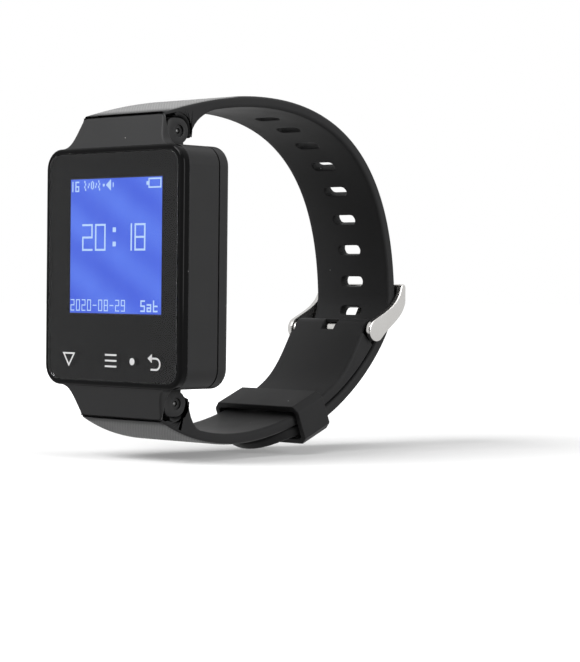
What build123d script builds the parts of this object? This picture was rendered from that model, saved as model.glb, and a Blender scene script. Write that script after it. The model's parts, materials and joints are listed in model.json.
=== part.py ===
"""Wrist pager: a small rectangular receiver on a buckled rubber watch band.

The origin is the middle of the back cover's flat face. X runs across the
case, the display looks along -Y, and Z is up. The closed band reaches behind
the case, towards +Y. All sizes are millimetres.
"""
from build123d import *
from math import cos, radians, sin
import os

os.makedirs("parts", exist_ok=True)

# ---------------------------------------------------------------- case shells
case_width = 39.0
case_height = 46.2
case_depth = 12.8
case_corner_r = 4.0
case_wall = 1.5
bezel_depth = 1.8
lens_proud = 0.2
cover_depth = 2.8
cover_wall = 1.4
cover_round = 1.2
gasket_thick = 0.3
gasket_inset = 0.3
edge_round = 0.5

# ------------------------------------------------------------ lens and display
rim_width = 1.2
lens_thick = 1.2
lens_corner_r = 2.6
lens_clear = 0.1
ledge_width = 1.8
window_corner_r = 1.0
tape_thick = 0.1
tape_width = 1.2
panel_side_room = 13.5
panel_end_room = 19.7
panel_top_room = 6.0
panel_x = 0.3
panel_border = 2.0
panel_foot = 5.0
cell_thick = 1.4
backlight_thick = 1.5
tray_wall = 0.9
tray_floor = 0.3
tray_clear = 0.05

# ------------------------------------------------------------------ touch keys
key_row_up = 5.1
key_film_width = 30.0
key_film_height = 4.2
key_film_thick = 0.2
key_tail_width = 4.0
lamp_x = 5.6
lamp_width = 1.6
lamp_thick = 0.6
pipe_diameter = 1.6

# ------------------------------------------------------------- board and parts
board_thick = 0.8
board_gap = 1.0
post_size = 4.4
screw_inset = 2.8
screw_diameter = 1.4
screw_length = 4.6
screw_head_d = 2.6
screw_head_h = 0.8
screw_clear = 0.1
battery_side_room = 18.0
battery_end_room = 20.9
battery_thick = 4.3
battery_inset = 4.0
battery_top_room = 7.9
battery_tape = 0.2
battery_corner_r = 1.0
foam_inset = 3.0
lead_diameter = 0.8
lead_spacing = 1.6
radio_width = 9.0
radio_height = 12.0
radio_thick = 1.8
column_inset = 8.5
radio_top_room = 9.8
buzzer_size = 9.0
buzzer_thick = 3.0
buzzer_gap = 2.5
chip_size = 5.0
chip_thick = 0.9
chip_gap = 1.5
crystal_length = 3.2
crystal_width = 2.5
crystal_thick = 0.8
antenna_side_room = 23.0
antenna_height = 3.6
antenna_track = 0.6
antenna_thick = 0.3
antenna_turns = 6
antenna_x = 4.0
antenna_inset = 5.4
connector_shift = 4.0
connector_width = 5.0
connector_height = 2.2
connector_thick = 1.2

# ------------------------------------------------------------- vibration motor
motor_diameter = 4.0
motor_length = 5.6
motor_inset = 6.5
motor_up = 9.0
motor_shaft_d = 0.8
motor_shaft_gap = 0.5
weight_length = 2.8
weight_radius = 1.9
cradle_wall = 0.6
cradle_length = 4.4

# ------------------------------------------------------------ charging contacts
contact_pitch = 7.62
contact_up = 8.3
contact_head_d = 3.0
contact_head_h = 0.5
contact_shank_d = 1.8
contact_stand = 0.5
pin_barrel_d = 1.6
magnet_diameter = 4.0
magnet_thick = 1.1
magnet_width_share = 5 / 13

# ------------------------------------------------------------------- band lugs
pin_y = -5.9
pin_drop = 2.9
apron_drop = 6.0
apron_lean = 2.2
apron_sweep = 0.3
apron_depth = 3.9
apron_top_room = 0.1
apron_root_half = 11.4
ear_inner_x = 9.2
ear_thick = 2.2
ear_radius = 2.5
ear_neck = 1.6
groove_width = 0.5
seam_gap = 0.4
joint_gap = 0.3
side_gap = 0.3

# -------------------------------------------------------------------- the band
strap_thick = 2.2
strap_half = 10.4
root_half = 11.4
taper_start_y = -2.0
taper_end_y = 22.0
layer_gap = 0.3
knuckle_radius = 1.8
knuckle_clear = 0.05
lip_thick = 1.0
lip_angle = 25.0
buckle_y = 51.6
buckle_z = -12.35
buckle_knuckle_r = 2.3
buckle_heading = 55.0
lower_heading = -30.0
lower_handle = 21.4
buckle_handle = 24.1
back_y = 59.1
back_z = -4.8
back_heading = 92.6
bend_handle = 3.6
back_handle = 46.6
upper_heading = 197.0
upper_handle = 25.6
root_blend_length = 11.41
upper_blend_length = 14.78
tail_reach = 37.09
tail_droop = 2.0
tail_tip_length = 8.5
hole_pitch = 7.0
hole_width = 6.0
hole_height = 2.2
holes_above = 9
holes_below = 3

# ------------------------------------------------------------ keeper and buckle
keeper_reach = 27.1
keeper_length = 8.0
keeper_wall = 1.2
keeper_inner_gap = 0.9
keeper_outer_gap = 0.35
keeper_side_gap = 0.35
keeper_bevel = 1.3
arm_thick = 1.2
arm_gap = 0.3
arm_eye_r = 2.3
arm_top_angle = 62.0
arm_foot_angle = 98.0
arm_top_sweep = 28.0
arm_foot_sweep = 8.0
arm_bar_sweep = 12.0
arm_top_handle = 0.4
arm_foot_handle = 0.3
boss_radius = 1.7
boss_length = 0.6
strap_end_half = 9.8
strap_end_length = 2.4
swell_length = 17.0
bar_height = 3.6
bar_rise = 0.4
bar_thick = 1.3
bar_gap = 0.3
tongue_width = 2.6
tongue_thick = 1.2
tongue_eye_r = 1.5
tongue_gap = 0.35
tongue_bend = 0.8
tongue_cover = 0.85
slot_clear = 0.3

# ----------------------------------------------------------------- spring bars
tube_diameter = 1.6
tube_bore = 1.1
tube_end_gap = 0.1
tip_diameter = 1.0
tip_hole_clear = 0.05
tip_in_tube = 3.4
tip_reach = 1.7
buckle_tip_reach = 1.2
window_diameter = 2.3
window_depth = 0.4

# ------------------------------------------------------------- derived places
half_width = case_width / 2
half_height = case_height / 2
panel_width = case_width - panel_side_room
panel_height = case_height - panel_end_room
panel_z = half_height - panel_top_room - panel_height / 2
key_row_z = key_row_up - half_height
battery_width = case_width - battery_side_room
battery_height = case_height - battery_end_room
battery_x = battery_inset - half_width + battery_width / 2
battery_z = half_height - battery_top_room - battery_height / 2
column_x = half_width - column_inset
radio_z = half_height - radio_top_room - radio_height / 2
buzzer_z = radio_z - radio_height / 2 - buzzer_gap - buzzer_size / 2
chip_z = buzzer_z - buzzer_size / 2 - chip_gap - chip_size / 2
antenna_width = case_width - antenna_side_room
antenna_z = half_height - antenna_inset
connector_x = battery_x - connector_shift
motor_x = motor_inset - half_width
motor_z = motor_up - half_height
contact_z = contact_up - half_height
magnet_spacing = case_width * magnet_width_share
apron_top_half = half_width - case_corner_r - apron_top_room
apron_shoulder = (apron_top_half - apron_root_half) * apron_sweep
lens_front_y = -case_depth
bezel_front_y = lens_front_y + lens_proud
bezel_back_y = bezel_front_y + bezel_depth
lens_back_y = lens_front_y + lens_thick
ledge_y = lens_back_y + tape_thick
lens_width = case_width - 2 * rim_width
lens_height = case_height - 2 * rim_width
pocket_width = lens_width + 2 * lens_clear
pocket_height = lens_height + 2 * lens_clear
window_width = pocket_width - 2 * ledge_width
window_height = pocket_height - 2 * ledge_width
cover_seam_y = -cover_depth
cover_inner_y = -cover_wall
mid_back_y = cover_seam_y - gasket_thick
inner_width = case_width - 2 * case_wall
inner_height = case_height - 2 * case_wall
inner_corner_r = case_corner_r - case_wall
cell_back_y = lens_back_y + cell_thick
tray_back_y = cell_back_y + backlight_thick + tray_floor
cell_width = panel_width + 2 * panel_border
cell_height = panel_height + panel_border + panel_foot
cell_z = panel_z + (panel_border - panel_foot) / 2
tray_width = cell_width + 2 * (tray_clear + tray_wall)
tray_height = cell_height + 2 * (tray_clear + tray_wall)
board_front_y = tray_back_y
board_back_y = board_front_y + board_thick
board_width = inner_width - 2 * board_gap
board_height = inner_height - 2 * board_gap
pin_z = half_height + pin_drop
apron_end_z = half_height + apron_drop
apron_front_y = bezel_front_y + edge_round
apron_back_y = apron_front_y + apron_depth
seam_y = apron_front_y + apron_lean
seam_z = apron_end_z + seam_gap
knuckle_half = ear_inner_x - side_gap
groove_y = apron_back_y + groove_width
arm_inner_x = strap_half + arm_gap
arm_outer_x = arm_inner_x + arm_thick
keeper_half = strap_half + keeper_side_gap + keeper_wall
boss_inner_x = arm_inner_x - boss_length


def heading(degrees):
    """Unit vector at an angle from +Y towards +Z, in a side view's own axes."""
    return Vector(cos(radians(degrees)), sin(radians(degrees)))


def inward(tangent):
    """Left-hand normal: it points into the closed band."""
    return Vector(-tangent.Y, tangent.X)


def shifted(curve, offset, start, stop, count=13):
    """Points beside a curve, offset(u) millimetres towards the band's inside."""
    points = []
    for step in range(count):
        u = start + (stop - start) * step / (count - 1)
        points.append(curve @ u + inward(curve % u) * offset(u))
    return points


def frame_at(curve, u):
    """Plane square to the band: its normal points inwards, its x axis along +X."""
    spot, tangent = curve @ u, curve % u
    normal = inward(tangent)
    return Plane(
        origin=(0, spot.X, spot.Y),
        x_dir=(1, 0, 0),
        z_dir=(0, normal.X, normal.Y),
    )


def front_plane(y):
    """Sketch plane that looks along +Y, with x along +X and y along +Z."""
    return Plane(origin=(0, y, 0), x_dir=(1, 0, 0), z_dir=(0, -1, 0))


def side_plane(x=0.0):
    """Sketch plane of a side view, with x along +Y and y along +Z."""
    return Plane(origin=(x, 0, 0), x_dir=(0, 1, 0), z_dir=(1, 0, 0))


def finish(builder, name, color):
    """Label a finished piece and write it to its own file."""
    builder.part.label = name
    builder.part.color = Color(*color)
    export_step(builder.part, f"parts/{name}.step")


black = (0.03, 0.03, 0.035)
charcoal = (0.09, 0.09, 0.10)
rubber = (0.07, 0.07, 0.075)
steel = (0.75, 0.76, 0.78)
gold = (0.85, 0.66, 0.28)
green = (0.05, 0.25, 0.12)
clear = (0.85, 0.9, 0.95)

# ============================================================ band centre lines
# Side-view curves of the band's outer face, drawn once and shared by both
# straps, the keeper and the buckle. They run from the lower lug round the
# buckle to the upper lug, so the wearer's wrist is always on the left.
buckle_center = Vector(buckle_y, buckle_z)
buckle_out = -inward(heading(buckle_heading))
lower_seam = Vector(seam_y, -seam_z)
upper_seam = Vector(seam_y, seam_z)
lower_end = buckle_center + buckle_out * buckle_knuckle_r

lower_curve = Bezier(
    lower_seam,
    lower_seam + heading(lower_heading) * lower_handle,
    lower_end - heading(buckle_heading) * buckle_handle,
    lower_end,
)
bend_start = lower_end + buckle_out * (layer_gap + strap_thick)
back_point = Vector(back_y, back_z)
bend_curve = Bezier(
    bend_start,
    bend_start + heading(buckle_heading) * bend_handle,
    back_point - heading(back_heading) * bend_handle,
    back_point,
)
back_curve = Bezier(
    back_point,
    back_point + heading(back_heading) * back_handle,
    upper_seam - heading(upper_heading) * upper_handle,
    upper_seam,
)




# ==================================================================== the shells
def case_outline(inset=0.0):
    """Rounded rectangle of the case, drawn in the sketch that is open."""
    return RectangleRounded(
        case_width - 2 * inset, case_height - 2 * inset, case_corner_r - inset
    )


with BuildPart() as front_lens:
    with BuildSketch(front_plane(lens_back_y)):
        RectangleRounded(lens_width, lens_height, lens_corner_r)
    extrude(amount=lens_thick)
    chamfer(front_lens.faces().sort_by(Axis.Y)[0].edges(), lens_proud)
finish(front_lens, "front_lens", black)

with BuildPart() as lens_tape:
    with BuildSketch(front_plane(ledge_y)):
        RectangleRounded(lens_width - 2 * lens_clear, lens_height - 2 * lens_clear, lens_corner_r)
        RectangleRounded(
            lens_width - 2 * tape_width,
            lens_height - 2 * tape_width,
            lens_corner_r - tape_width / 2,
            mode=Mode.SUBTRACT,
        )
    extrude(amount=tape_thick)
finish(lens_tape, "lens_tape", black)

# The apron hides the strap's root: it leans back in side view and sweeps in
# from the case's width to the strap's width in front view.
with BuildPart() as apron:
    with BuildSketch(side_plane()):
        with BuildLine():
            Polyline(
                (apron_front_y, -half_height),
                (seam_y, -apron_end_z),
                (apron_back_y, -apron_end_z),
                (apron_back_y, -half_height),
                close=True,
            )
        make_face()
    extrude(amount=apron_top_half, both=True)
    with BuildSketch(front_plane(apron_back_y)):
        with BuildLine():
            top = Line((-apron_top_half, -half_height), (apron_top_half, -half_height))
            right = Bezier(
                top @ 1,
                (apron_root_half + apron_shoulder, -half_height),
                (apron_root_half + apron_shoulder, -pin_z),
                (apron_root_half, -apron_end_z),
            )
            bottom = Line(right @ 1, (-apron_root_half, -apron_end_z))
            mirror(right, about=Plane.YZ)
        make_face()
    extrude(amount=apron_depth + edge_round, mode=Mode.INTERSECT)

with BuildPart() as front_bezel:
    with BuildSketch(front_plane(bezel_back_y)):
        case_outline()
    extrude(amount=bezel_depth)
    fillet(front_bezel.faces().sort_by(Axis.Y)[0].edges(), edge_round)
    add(apron.part)
    add(mirror(apron.part, about=Plane.XY, mode=Mode.PRIVATE))
    with BuildSketch(front_plane(ledge_y)):
        RectangleRounded(pocket_width, pocket_height, lens_corner_r + lens_clear)
    extrude(amount=bezel_depth, mode=Mode.SUBTRACT)
    with BuildSketch(front_plane(bezel_back_y)):
        RectangleRounded(window_width, window_height, window_corner_r)
    extrude(amount=bezel_depth, mode=Mode.SUBTRACT)
finish(front_bezel, "front_bezel", black)

# One ear of the lower right lug, mirrored to the other three places.
with BuildPart() as ear:
    with BuildSketch(side_plane(ear_inner_x)):
        with Locations((pin_y, -pin_z)):
            Circle(ear_radius)
        with Locations(((groove_y + pin_y + ear_neck) / 2, -half_height - pin_drop / 2)):
            Rectangle(pin_y + ear_neck - groove_y, pin_drop)
        with Locations((groove_y - ear_radius, -pin_z)):
            Rectangle(2 * ear_radius, 4 * ear_radius, mode=Mode.SUBTRACT)
    extrude(amount=ear_thick)
    with BuildSketch(side_plane(ear_inner_x)):
        with Locations((pin_y, -pin_z)):
            Circle(tip_diameter / 2 + tip_hole_clear)
    extrude(amount=ear_thick, mode=Mode.SUBTRACT)
    with BuildSketch(side_plane(ear_inner_x + ear_thick - window_depth)):
        with Locations((pin_y, -pin_z)):
            Circle(window_diameter / 2)
    extrude(amount=window_depth, mode=Mode.SUBTRACT)

post_x = inner_width / 2 - post_size / 2
post_z = inner_height / 2 - post_size / 2
screw_x = inner_width / 2 - screw_inset
screw_z = inner_height / 2 - screw_inset
post_spots = [(sx * post_x, sz * post_z) for sx in (-1, 1) for sz in (-1, 1)]
screw_spots = [(sx * screw_x, sz * screw_z) for sx in (-1, 1) for sz in (-1, 1)]

with BuildPart() as mid_case:
    with BuildSketch(front_plane(mid_back_y)):
        case_outline()
        RectangleRounded(inner_width, inner_height, inner_corner_r, mode=Mode.SUBTRACT)
    extrude(amount=mid_back_y - bezel_back_y)
    with BuildSketch(front_plane(mid_back_y)):
        with Locations(*post_spots):
            Rectangle(post_size, post_size)
    extrude(amount=mid_back_y - board_back_y)
    with BuildSketch(front_plane(mid_back_y)):
        with Locations(*screw_spots):
            Circle(screw_diameter / 2 + screw_clear / 2)
    extrude(amount=mid_back_y - board_back_y, mode=Mode.SUBTRACT)
    lower_ears = [ear.part, mirror(ear.part, about=Plane.YZ, mode=Mode.PRIVATE)]
    for lower_ear in lower_ears:
        add(lower_ear)
        add(mirror(lower_ear, about=Plane.XY, mode=Mode.PRIVATE))
finish(mid_case, "mid_case", charcoal)

with BuildPart() as case_gasket:
    with BuildSketch(front_plane(cover_seam_y)):
        case_outline(gasket_inset)
        RectangleRounded(inner_width, inner_height, inner_corner_r, mode=Mode.SUBTRACT)
    extrude(amount=gasket_thick)
finish(case_gasket, "case_gasket", black)

contact_spots = [(-contact_pitch / 2, contact_z), (contact_pitch / 2, contact_z)]

with BuildPart() as back_cover:
    with BuildSketch(front_plane(0)):
        case_outline()
    extrude(amount=cover_depth)
    fillet(back_cover.faces().sort_by(Axis.Y)[-1].edges(), cover_round)
    with BuildSketch(front_plane(cover_inner_y)):
        RectangleRounded(inner_width, inner_height, inner_corner_r)
        with Locations(*post_spots):
            Rectangle(post_size, post_size, mode=Mode.SUBTRACT)
    extrude(amount=cover_depth, mode=Mode.SUBTRACT)
    with BuildSketch(front_plane(0)):
        with Locations(*screw_spots):
            Circle(screw_diameter / 2 + screw_clear / 2)
        with Locations(*contact_spots):
            Circle(contact_shank_d / 2 + screw_clear / 2)
    extrude(amount=cover_depth, mode=Mode.SUBTRACT)
    with BuildSketch(front_plane(0)):
        with Locations(*screw_spots):
            Circle(screw_head_d / 2 + screw_clear / 2)
    extrude(amount=screw_head_h, mode=Mode.SUBTRACT)
    with BuildSketch(front_plane(0)):
        with Locations(*contact_spots):
            Circle(contact_head_d / 2 + screw_clear / 2)
    extrude(amount=contact_head_h, mode=Mode.SUBTRACT)
finish(back_cover, "back_cover", charcoal)

with BuildPart() as case_screws:
    with BuildSketch(front_plane(0)):
        with Locations(*screw_spots):
            Circle(screw_head_d / 2)
    extrude(amount=screw_head_h)
    with BuildSketch(front_plane(-screw_head_h)):
        with Locations(*screw_spots):
            Circle(screw_diameter / 2)
    extrude(amount=screw_length)
finish(case_screws, "case_screws", steel)


# ======================================================== display and touch keys
def block(x, z, width, height, back_y, thick, corner=0.0):
    """Flat rectangular piece whose back face lies at back_y."""
    with BuildPart() as piece:
        with BuildSketch(front_plane(back_y)):
            with Locations((x, z)):
                if corner:
                    RectangleRounded(width, height, corner)
                else:
                    Rectangle(width, height)
        extrude(amount=thick)
    return piece


def rod(x, z, diameter, back_y, length):
    """Round piece along Y whose back end lies at back_y."""
    with BuildPart() as piece:
        with BuildSketch(front_plane(back_y)):
            with Locations((x, z)):
                Circle(diameter / 2)
        extrude(amount=length)
    return piece


lcd_cell = block(panel_x, cell_z, cell_width, cell_height, cell_back_y, cell_thick)
finish(lcd_cell, "lcd_cell", clear)

backlight_back_y = cell_back_y + backlight_thick
lcd_backlight = block(
    panel_x, cell_z, cell_width, cell_height, backlight_back_y, backlight_thick
)
finish(lcd_backlight, "lcd_backlight", clear)

cell_foot_z = cell_z - cell_height / 2
tray_foot_z = cell_z - tray_height / 2
flex_width = 12.0
flex_thick = 0.15
flex_y = cell_back_y - cell_thick / 2

with BuildPart() as lcd_tray:
    with BuildSketch(front_plane(tray_back_y)):
        with Locations((panel_x, cell_z)):
            Rectangle(tray_width, tray_height)
    extrude(amount=tray_back_y - lens_back_y)
    with BuildSketch(front_plane(backlight_back_y)):
        with Locations((panel_x, cell_z)):
            Rectangle(cell_width + 2 * tray_clear, cell_height + 2 * tray_clear)
        with Locations((panel_x, tray_foot_z)):
            Rectangle(flex_width + 4 * tray_clear, 3 * tray_wall)
    extrude(amount=case_depth, mode=Mode.SUBTRACT)
finish(lcd_tray, "lcd_tray", black)

with BuildPart() as lcd_flex:
    with BuildSketch(side_plane(panel_x)):
        with BuildLine():
            Polyline(
                (flex_y, cell_foot_z),
                (flex_y, tray_foot_z - flex_thick),
                (board_front_y, tray_foot_z - flex_thick),
                (board_front_y, tray_foot_z),
                (flex_y + flex_thick, tray_foot_z),
                (flex_y + flex_thick, cell_foot_z),
                close=True,
            )
        make_face()
    extrude(amount=flex_width / 2, both=True)
finish(lcd_flex, "lcd_flex", gold)

# The touch film lies behind the lens; its tail drops to the board.
with BuildPart() as touch_sensor:
    with BuildSketch(front_plane(lens_back_y + key_film_thick)):
        with Locations((0, key_row_z)):
            Rectangle(key_film_width, key_film_height)
    extrude(amount=key_film_thick)
    tail_z = key_row_z - key_film_height / 2 + key_film_thick / 2
    with BuildSketch(front_plane(board_front_y)):
        with Locations((panel_x, tail_z)):
            Rectangle(key_tail_width, key_film_thick)
    extrude(amount=board_front_y - lens_back_y)
finish(touch_sensor, "touch_sensor", gold)

status_lamp = block(lamp_x, key_row_z, lamp_width, lamp_width, board_front_y, lamp_thick)
finish(status_lamp, "status_lamp", clear)

pipe_back_y = board_front_y - lamp_thick
pipe_length = pipe_back_y - lens_back_y - key_film_thick
light_pipe = rod(lamp_x, key_row_z, pipe_diameter, pipe_back_y, pipe_length)
finish(light_pipe, "light_pipe", clear)

# ============================================================ board and its parts
main_board = block(0, 0, board_width, board_height, board_back_y, board_thick, inner_corner_r)
finish(main_board, "main_board", green)


def on_board(x, z, width, height, thick, corner=0.0):
    """Piece that stands on the board's back face."""
    return block(x, z, width, height, board_back_y + thick, thick, corner)


radio_module = on_board(column_x, radio_z, radio_width, radio_height, radio_thick)
finish(radio_module, "radio_module", steel)
controller_chip = on_board(column_x, chip_z, chip_size, chip_size, chip_thick)
finish(controller_chip, "controller_chip", black)
crystal_z = battery_z - battery_height / 2 - crystal_width
clock_crystal = on_board(0, crystal_z, crystal_length, crystal_width, crystal_thick)
finish(clock_crystal, "clock_crystal", steel)
battery_connector = on_board(
    connector_x, antenna_z, connector_width, connector_height, connector_thick
)
finish(battery_connector, "battery_connector", clear)

with BuildPart() as sounder:
    with BuildSketch(front_plane(board_back_y + buzzer_thick)):
        with Locations((column_x, buzzer_z)):
            RectangleRounded(buzzer_size, buzzer_size, inner_corner_r / 2)
    extrude(amount=buzzer_thick)
    with BuildSketch(front_plane(board_back_y + buzzer_thick)):
        with Locations((column_x, buzzer_z)):
            Circle(buzzer_size / 8)
    extrude(amount=buzzer_thick / 2, mode=Mode.SUBTRACT)
finish(sounder, "sounder", black)

# A stamped meander: upright fingers joined top and bottom in turn.
antenna_pitch = (antenna_width - antenna_track) / (2 * antenna_turns)
with BuildPart() as antenna_strip:
    with BuildSketch(front_plane(board_back_y + antenna_thick)):
        for finger in range(2 * antenna_turns + 1):
            finger_x = antenna_x + antenna_pitch * (finger - antenna_turns)
            with Locations((finger_x, antenna_z)):
                Rectangle(antenna_track, antenna_height)
            if finger < 2 * antenna_turns:
                link_side = 1 if finger % 2 else -1
                link_z = antenna_z + link_side * (antenna_height - antenna_track) / 2
                with Locations((finger_x + antenna_pitch / 2, link_z)):
                    Rectangle(antenna_pitch, antenna_track)
    extrude(amount=antenna_thick)
finish(antenna_strip, "antenna_strip", gold)

tape_back_y = board_back_y + battery_tape
battery_back_y = tape_back_y + battery_thick
battery_tape_pad = block(
    battery_x, battery_z, battery_width - foam_inset, battery_height - foam_inset,
    tape_back_y, battery_tape,
)
finish(battery_tape_pad, "battery_tape", clear)

with BuildPart() as battery_cell:
    with BuildSketch(front_plane(battery_back_y)):
        with Locations((battery_x, battery_z)):
            RectangleRounded(battery_width, battery_height, battery_corner_r)
    extrude(amount=battery_thick)
    fillet(battery_cell.edges().filter_by(Axis.Z), battery_corner_r)
finish(battery_cell, "battery_cell", steel)

battery_foam = block(
    battery_x, battery_z, battery_width - foam_inset, battery_height - foam_inset,
    cover_inner_y, cover_inner_y - battery_back_y,
)
finish(battery_foam, "battery_foam", black)

lead_start_z = battery_z + battery_height / 2
lead_end_z = antenna_z - connector_height / 2
with BuildPart() as battery_leads:
    with BuildSketch(Plane.XY.offset(lead_start_z)):
        with Locations(
            (connector_x - lead_spacing / 2, board_back_y + battery_corner_r),
            (connector_x + lead_spacing / 2, board_back_y + battery_corner_r),
        ):
            Circle(lead_diameter / 2)
    extrude(amount=lead_end_z - lead_start_z)
finish(battery_leads, "battery_leads", (0.7, 0.1, 0.08))

# -------------------------------------------------------------- vibration motor
motor_y = board_back_y + cradle_wall + motor_diameter / 2 + tip_hole_clear
motor_start_x = motor_x - motor_length / 2
motor_end_x = motor_x + motor_length / 2


def motor_disc(x, radius):
    """Disc about the motor's axis, in the side plane at x."""
    with BuildSketch(side_plane(x)) as disc:
        with Locations((motor_y, motor_z)):
            Circle(radius)
    return disc.sketch


shaft_start_x = motor_end_x - 2 * motor_shaft_d
weight_x = motor_end_x + motor_shaft_gap
bore_radius = motor_shaft_d / 2 + tip_hole_clear

with BuildPart() as motor_can:
    extrude(motor_disc(motor_start_x, motor_diameter / 2), amount=motor_length)
    extrude(
        motor_disc(shaft_start_x, bore_radius), amount=2 * motor_shaft_d, mode=Mode.SUBTRACT
    )
finish(motor_can, "motor_can", steel)

with BuildPart() as motor_cradle:
    cradle_outer = motor_diameter + 2 * cradle_wall + 2 * tip_hole_clear
    with BuildSketch(side_plane(motor_x - cradle_length / 2)):
        with Locations((motor_y, motor_z)):
            RectangleRounded(cradle_outer, cradle_outer, cradle_wall)
            Circle(motor_diameter / 2 + tip_hole_clear, mode=Mode.SUBTRACT)
    extrude(amount=cradle_length)
finish(motor_cradle, "motor_cradle", rubber)

with BuildPart() as motor_weight:
    shaft_length = weight_x + weight_length - shaft_start_x - tip_hole_clear
    extrude(motor_disc(shaft_start_x + tip_hole_clear, motor_shaft_d / 2), amount=shaft_length)
    with BuildSketch(side_plane(weight_x)):
        with Locations((motor_y, motor_z)):
            Circle(weight_radius)
        with Locations((motor_y, motor_z + weight_radius)):
            Rectangle(2 * weight_radius, 2 * weight_radius, mode=Mode.SUBTRACT)
        with Locations((motor_y, motor_z)):
            Circle(motor_shaft_d)
    extrude(amount=weight_length)
finish(motor_weight, "motor_weight", steel)

# ------------------------------------------------------------- charging contacts
shank_end_y = cover_inner_y - contact_stand
with BuildPart() as charge_contacts:
    with BuildSketch(front_plane(0)):
        with Locations(*contact_spots):
            Circle(contact_head_d / 2)
    extrude(amount=contact_head_h)
    with BuildSketch(front_plane(-contact_head_h)):
        with Locations(*contact_spots):
            Circle(contact_shank_d / 2)
    extrude(amount=-contact_head_h - shank_end_y)
finish(charge_contacts, "charge_contacts", gold)

with BuildPart() as contact_pins:
    with BuildSketch(front_plane(shank_end_y)):
        with Locations(*contact_spots):
            Circle(pin_barrel_d / 2)
    extrude(amount=shank_end_y - board_back_y)
finish(contact_pins, "contact_pins", gold)

with BuildPart() as charge_magnets:
    with BuildSketch(front_plane(cover_inner_y)):
        with Locations((-magnet_spacing / 2, contact_z), (magnet_spacing / 2, contact_z)):
            Circle(magnet_diameter / 2)
    extrude(amount=magnet_thick)
finish(charge_magnets, "charge_magnets", steel)


# ====================================================================== the band
def inner_face(u):
    """Inward offset of a strap's inner face: one thickness everywhere."""
    return strap_thick


def swelling_face(u):
    """Inward offset of the short strap's inner face: it swells to meet the buckle bar's knuckle."""
    share = max(0.0, 1 - (1 - u) * lower_curve.length / swell_length)
    return strap_thick + (2 * buckle_knuckle_r - strap_thick) * share**2 * (3 - 2 * share)


def pin_spot(side):
    """Spring bar axis in side view: side is -1 for the lower lug, 1 for the upper."""
    return Vector(pin_y, side * pin_z)


def root_outline(side, blend_end, blend_tangent):
    """Open outline of a strap root, from its inner face round to the seam.

    It rises to the lip behind the ear, follows the ear's round end at the
    joint gap and comes down to the seam with the apron.
    """
    pin = pin_spot(side)
    joint_r = ear_radius + joint_gap
    lip_inner = pin + Vector(
        joint_r * cos(radians(lip_angle)), -side * joint_r * sin(radians(lip_angle))
    )
    lip_outer = lip_inner + Vector(lip_thick, 0)
    front_y = groove_y + joint_gap
    front_drop = (joint_r**2 - (front_y - pin_y) ** 2) ** 0.5
    front_top = Vector(front_y, pin.Y + side * front_drop)
    front_foot = Vector(front_y, side * seam_z)
    lowest = pin + Vector(0, side * joint_r)
    Spline(blend_end, lip_outer, tangents=(blend_tangent, (0, -side)))
    Line(lip_outer, lip_inner)
    ThreePointArc(lip_inner, lowest, front_top)
    Line(front_top, front_foot)
    Line(front_foot, Vector(seam_y, side * seam_z))


keeper_at = 1 - keeper_reach / lower_curve.length
tail_start = 1 - tail_reach / lower_curve.length
root_blend = root_blend_length / lower_curve.length
upper_blend = 1 - upper_blend_length / back_curve.length

# Plan view of both straps: wide at the lug, narrower behind the wrist.
with BuildSketch(Plane.XY.offset(-2 * seam_z)) as planform:
    with BuildLine():
        front = Line((-root_half, 2 * seam_y), (root_half, 2 * seam_y))
        side_edge = Line(front @ 1, (root_half, taper_start_y))
        middle_y = (taper_start_y + taper_end_y) / 2
        taper = Bezier(
            side_edge @ 1, (root_half, middle_y), (strap_half, middle_y),
            (strap_half, taper_end_y),
        )
        side_rear = Line(taper @ 1, (strap_half, 2 * back_y))
        Line(side_rear @ 1, (-strap_half, 2 * back_y))
        mirror(side_edge, about=Plane.YZ)
        mirror(taper, about=Plane.YZ)
        mirror(side_rear, about=Plane.YZ)
    make_face()


def root_knuckle(side):
    """Middle of a strap root: it fills the lug between the ears, round the tube."""
    pin = pin_spot(side)
    web = ear_radius + 2 * joint_gap
    with BuildPart() as knuckle:
        with BuildSketch(side_plane()):
            with Locations((pin.X, pin.Y)):
                Circle(knuckle_radius)
            with Locations((pin.X, pin.Y + side * web / 2)):
                Rectangle(2 * knuckle_radius, web)
            with Locations((pin.X, pin.Y)):
                Circle(tube_diameter / 2 + knuckle_clear, mode=Mode.SUBTRACT)
        extrude(amount=knuckle_half, both=True)
    return knuckle.part


# --------------------------------------------------------------------- long strap
tail_u = keeper_at - keeper_length / 2 / lower_curve.length


def tail_offset(u):
    """Gap between the lower strap and the tail, which springs away at its tip."""
    spread = max(0.0, (tail_u - u) / (tail_u - tail_start))
    return -(layer_gap + tail_droop * spread**2)


hole_planes = [frame_at(lower_curve, 1.0)]
for step in range(1, holes_below + 1):
    hole_planes.append(frame_at(lower_curve, 1 - step * hole_pitch / lower_curve.length))
for step in range(1, holes_above + 1):
    along = step * hole_pitch
    if along < bend_curve.length:
        hole_planes.append(frame_at(bend_curve, along / bend_curve.length))
    else:
        rest = along - bend_curve.length
        hole_planes.append(frame_at(back_curve, rest / back_curve.length))

upper_knuckle = root_knuckle(1)

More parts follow.
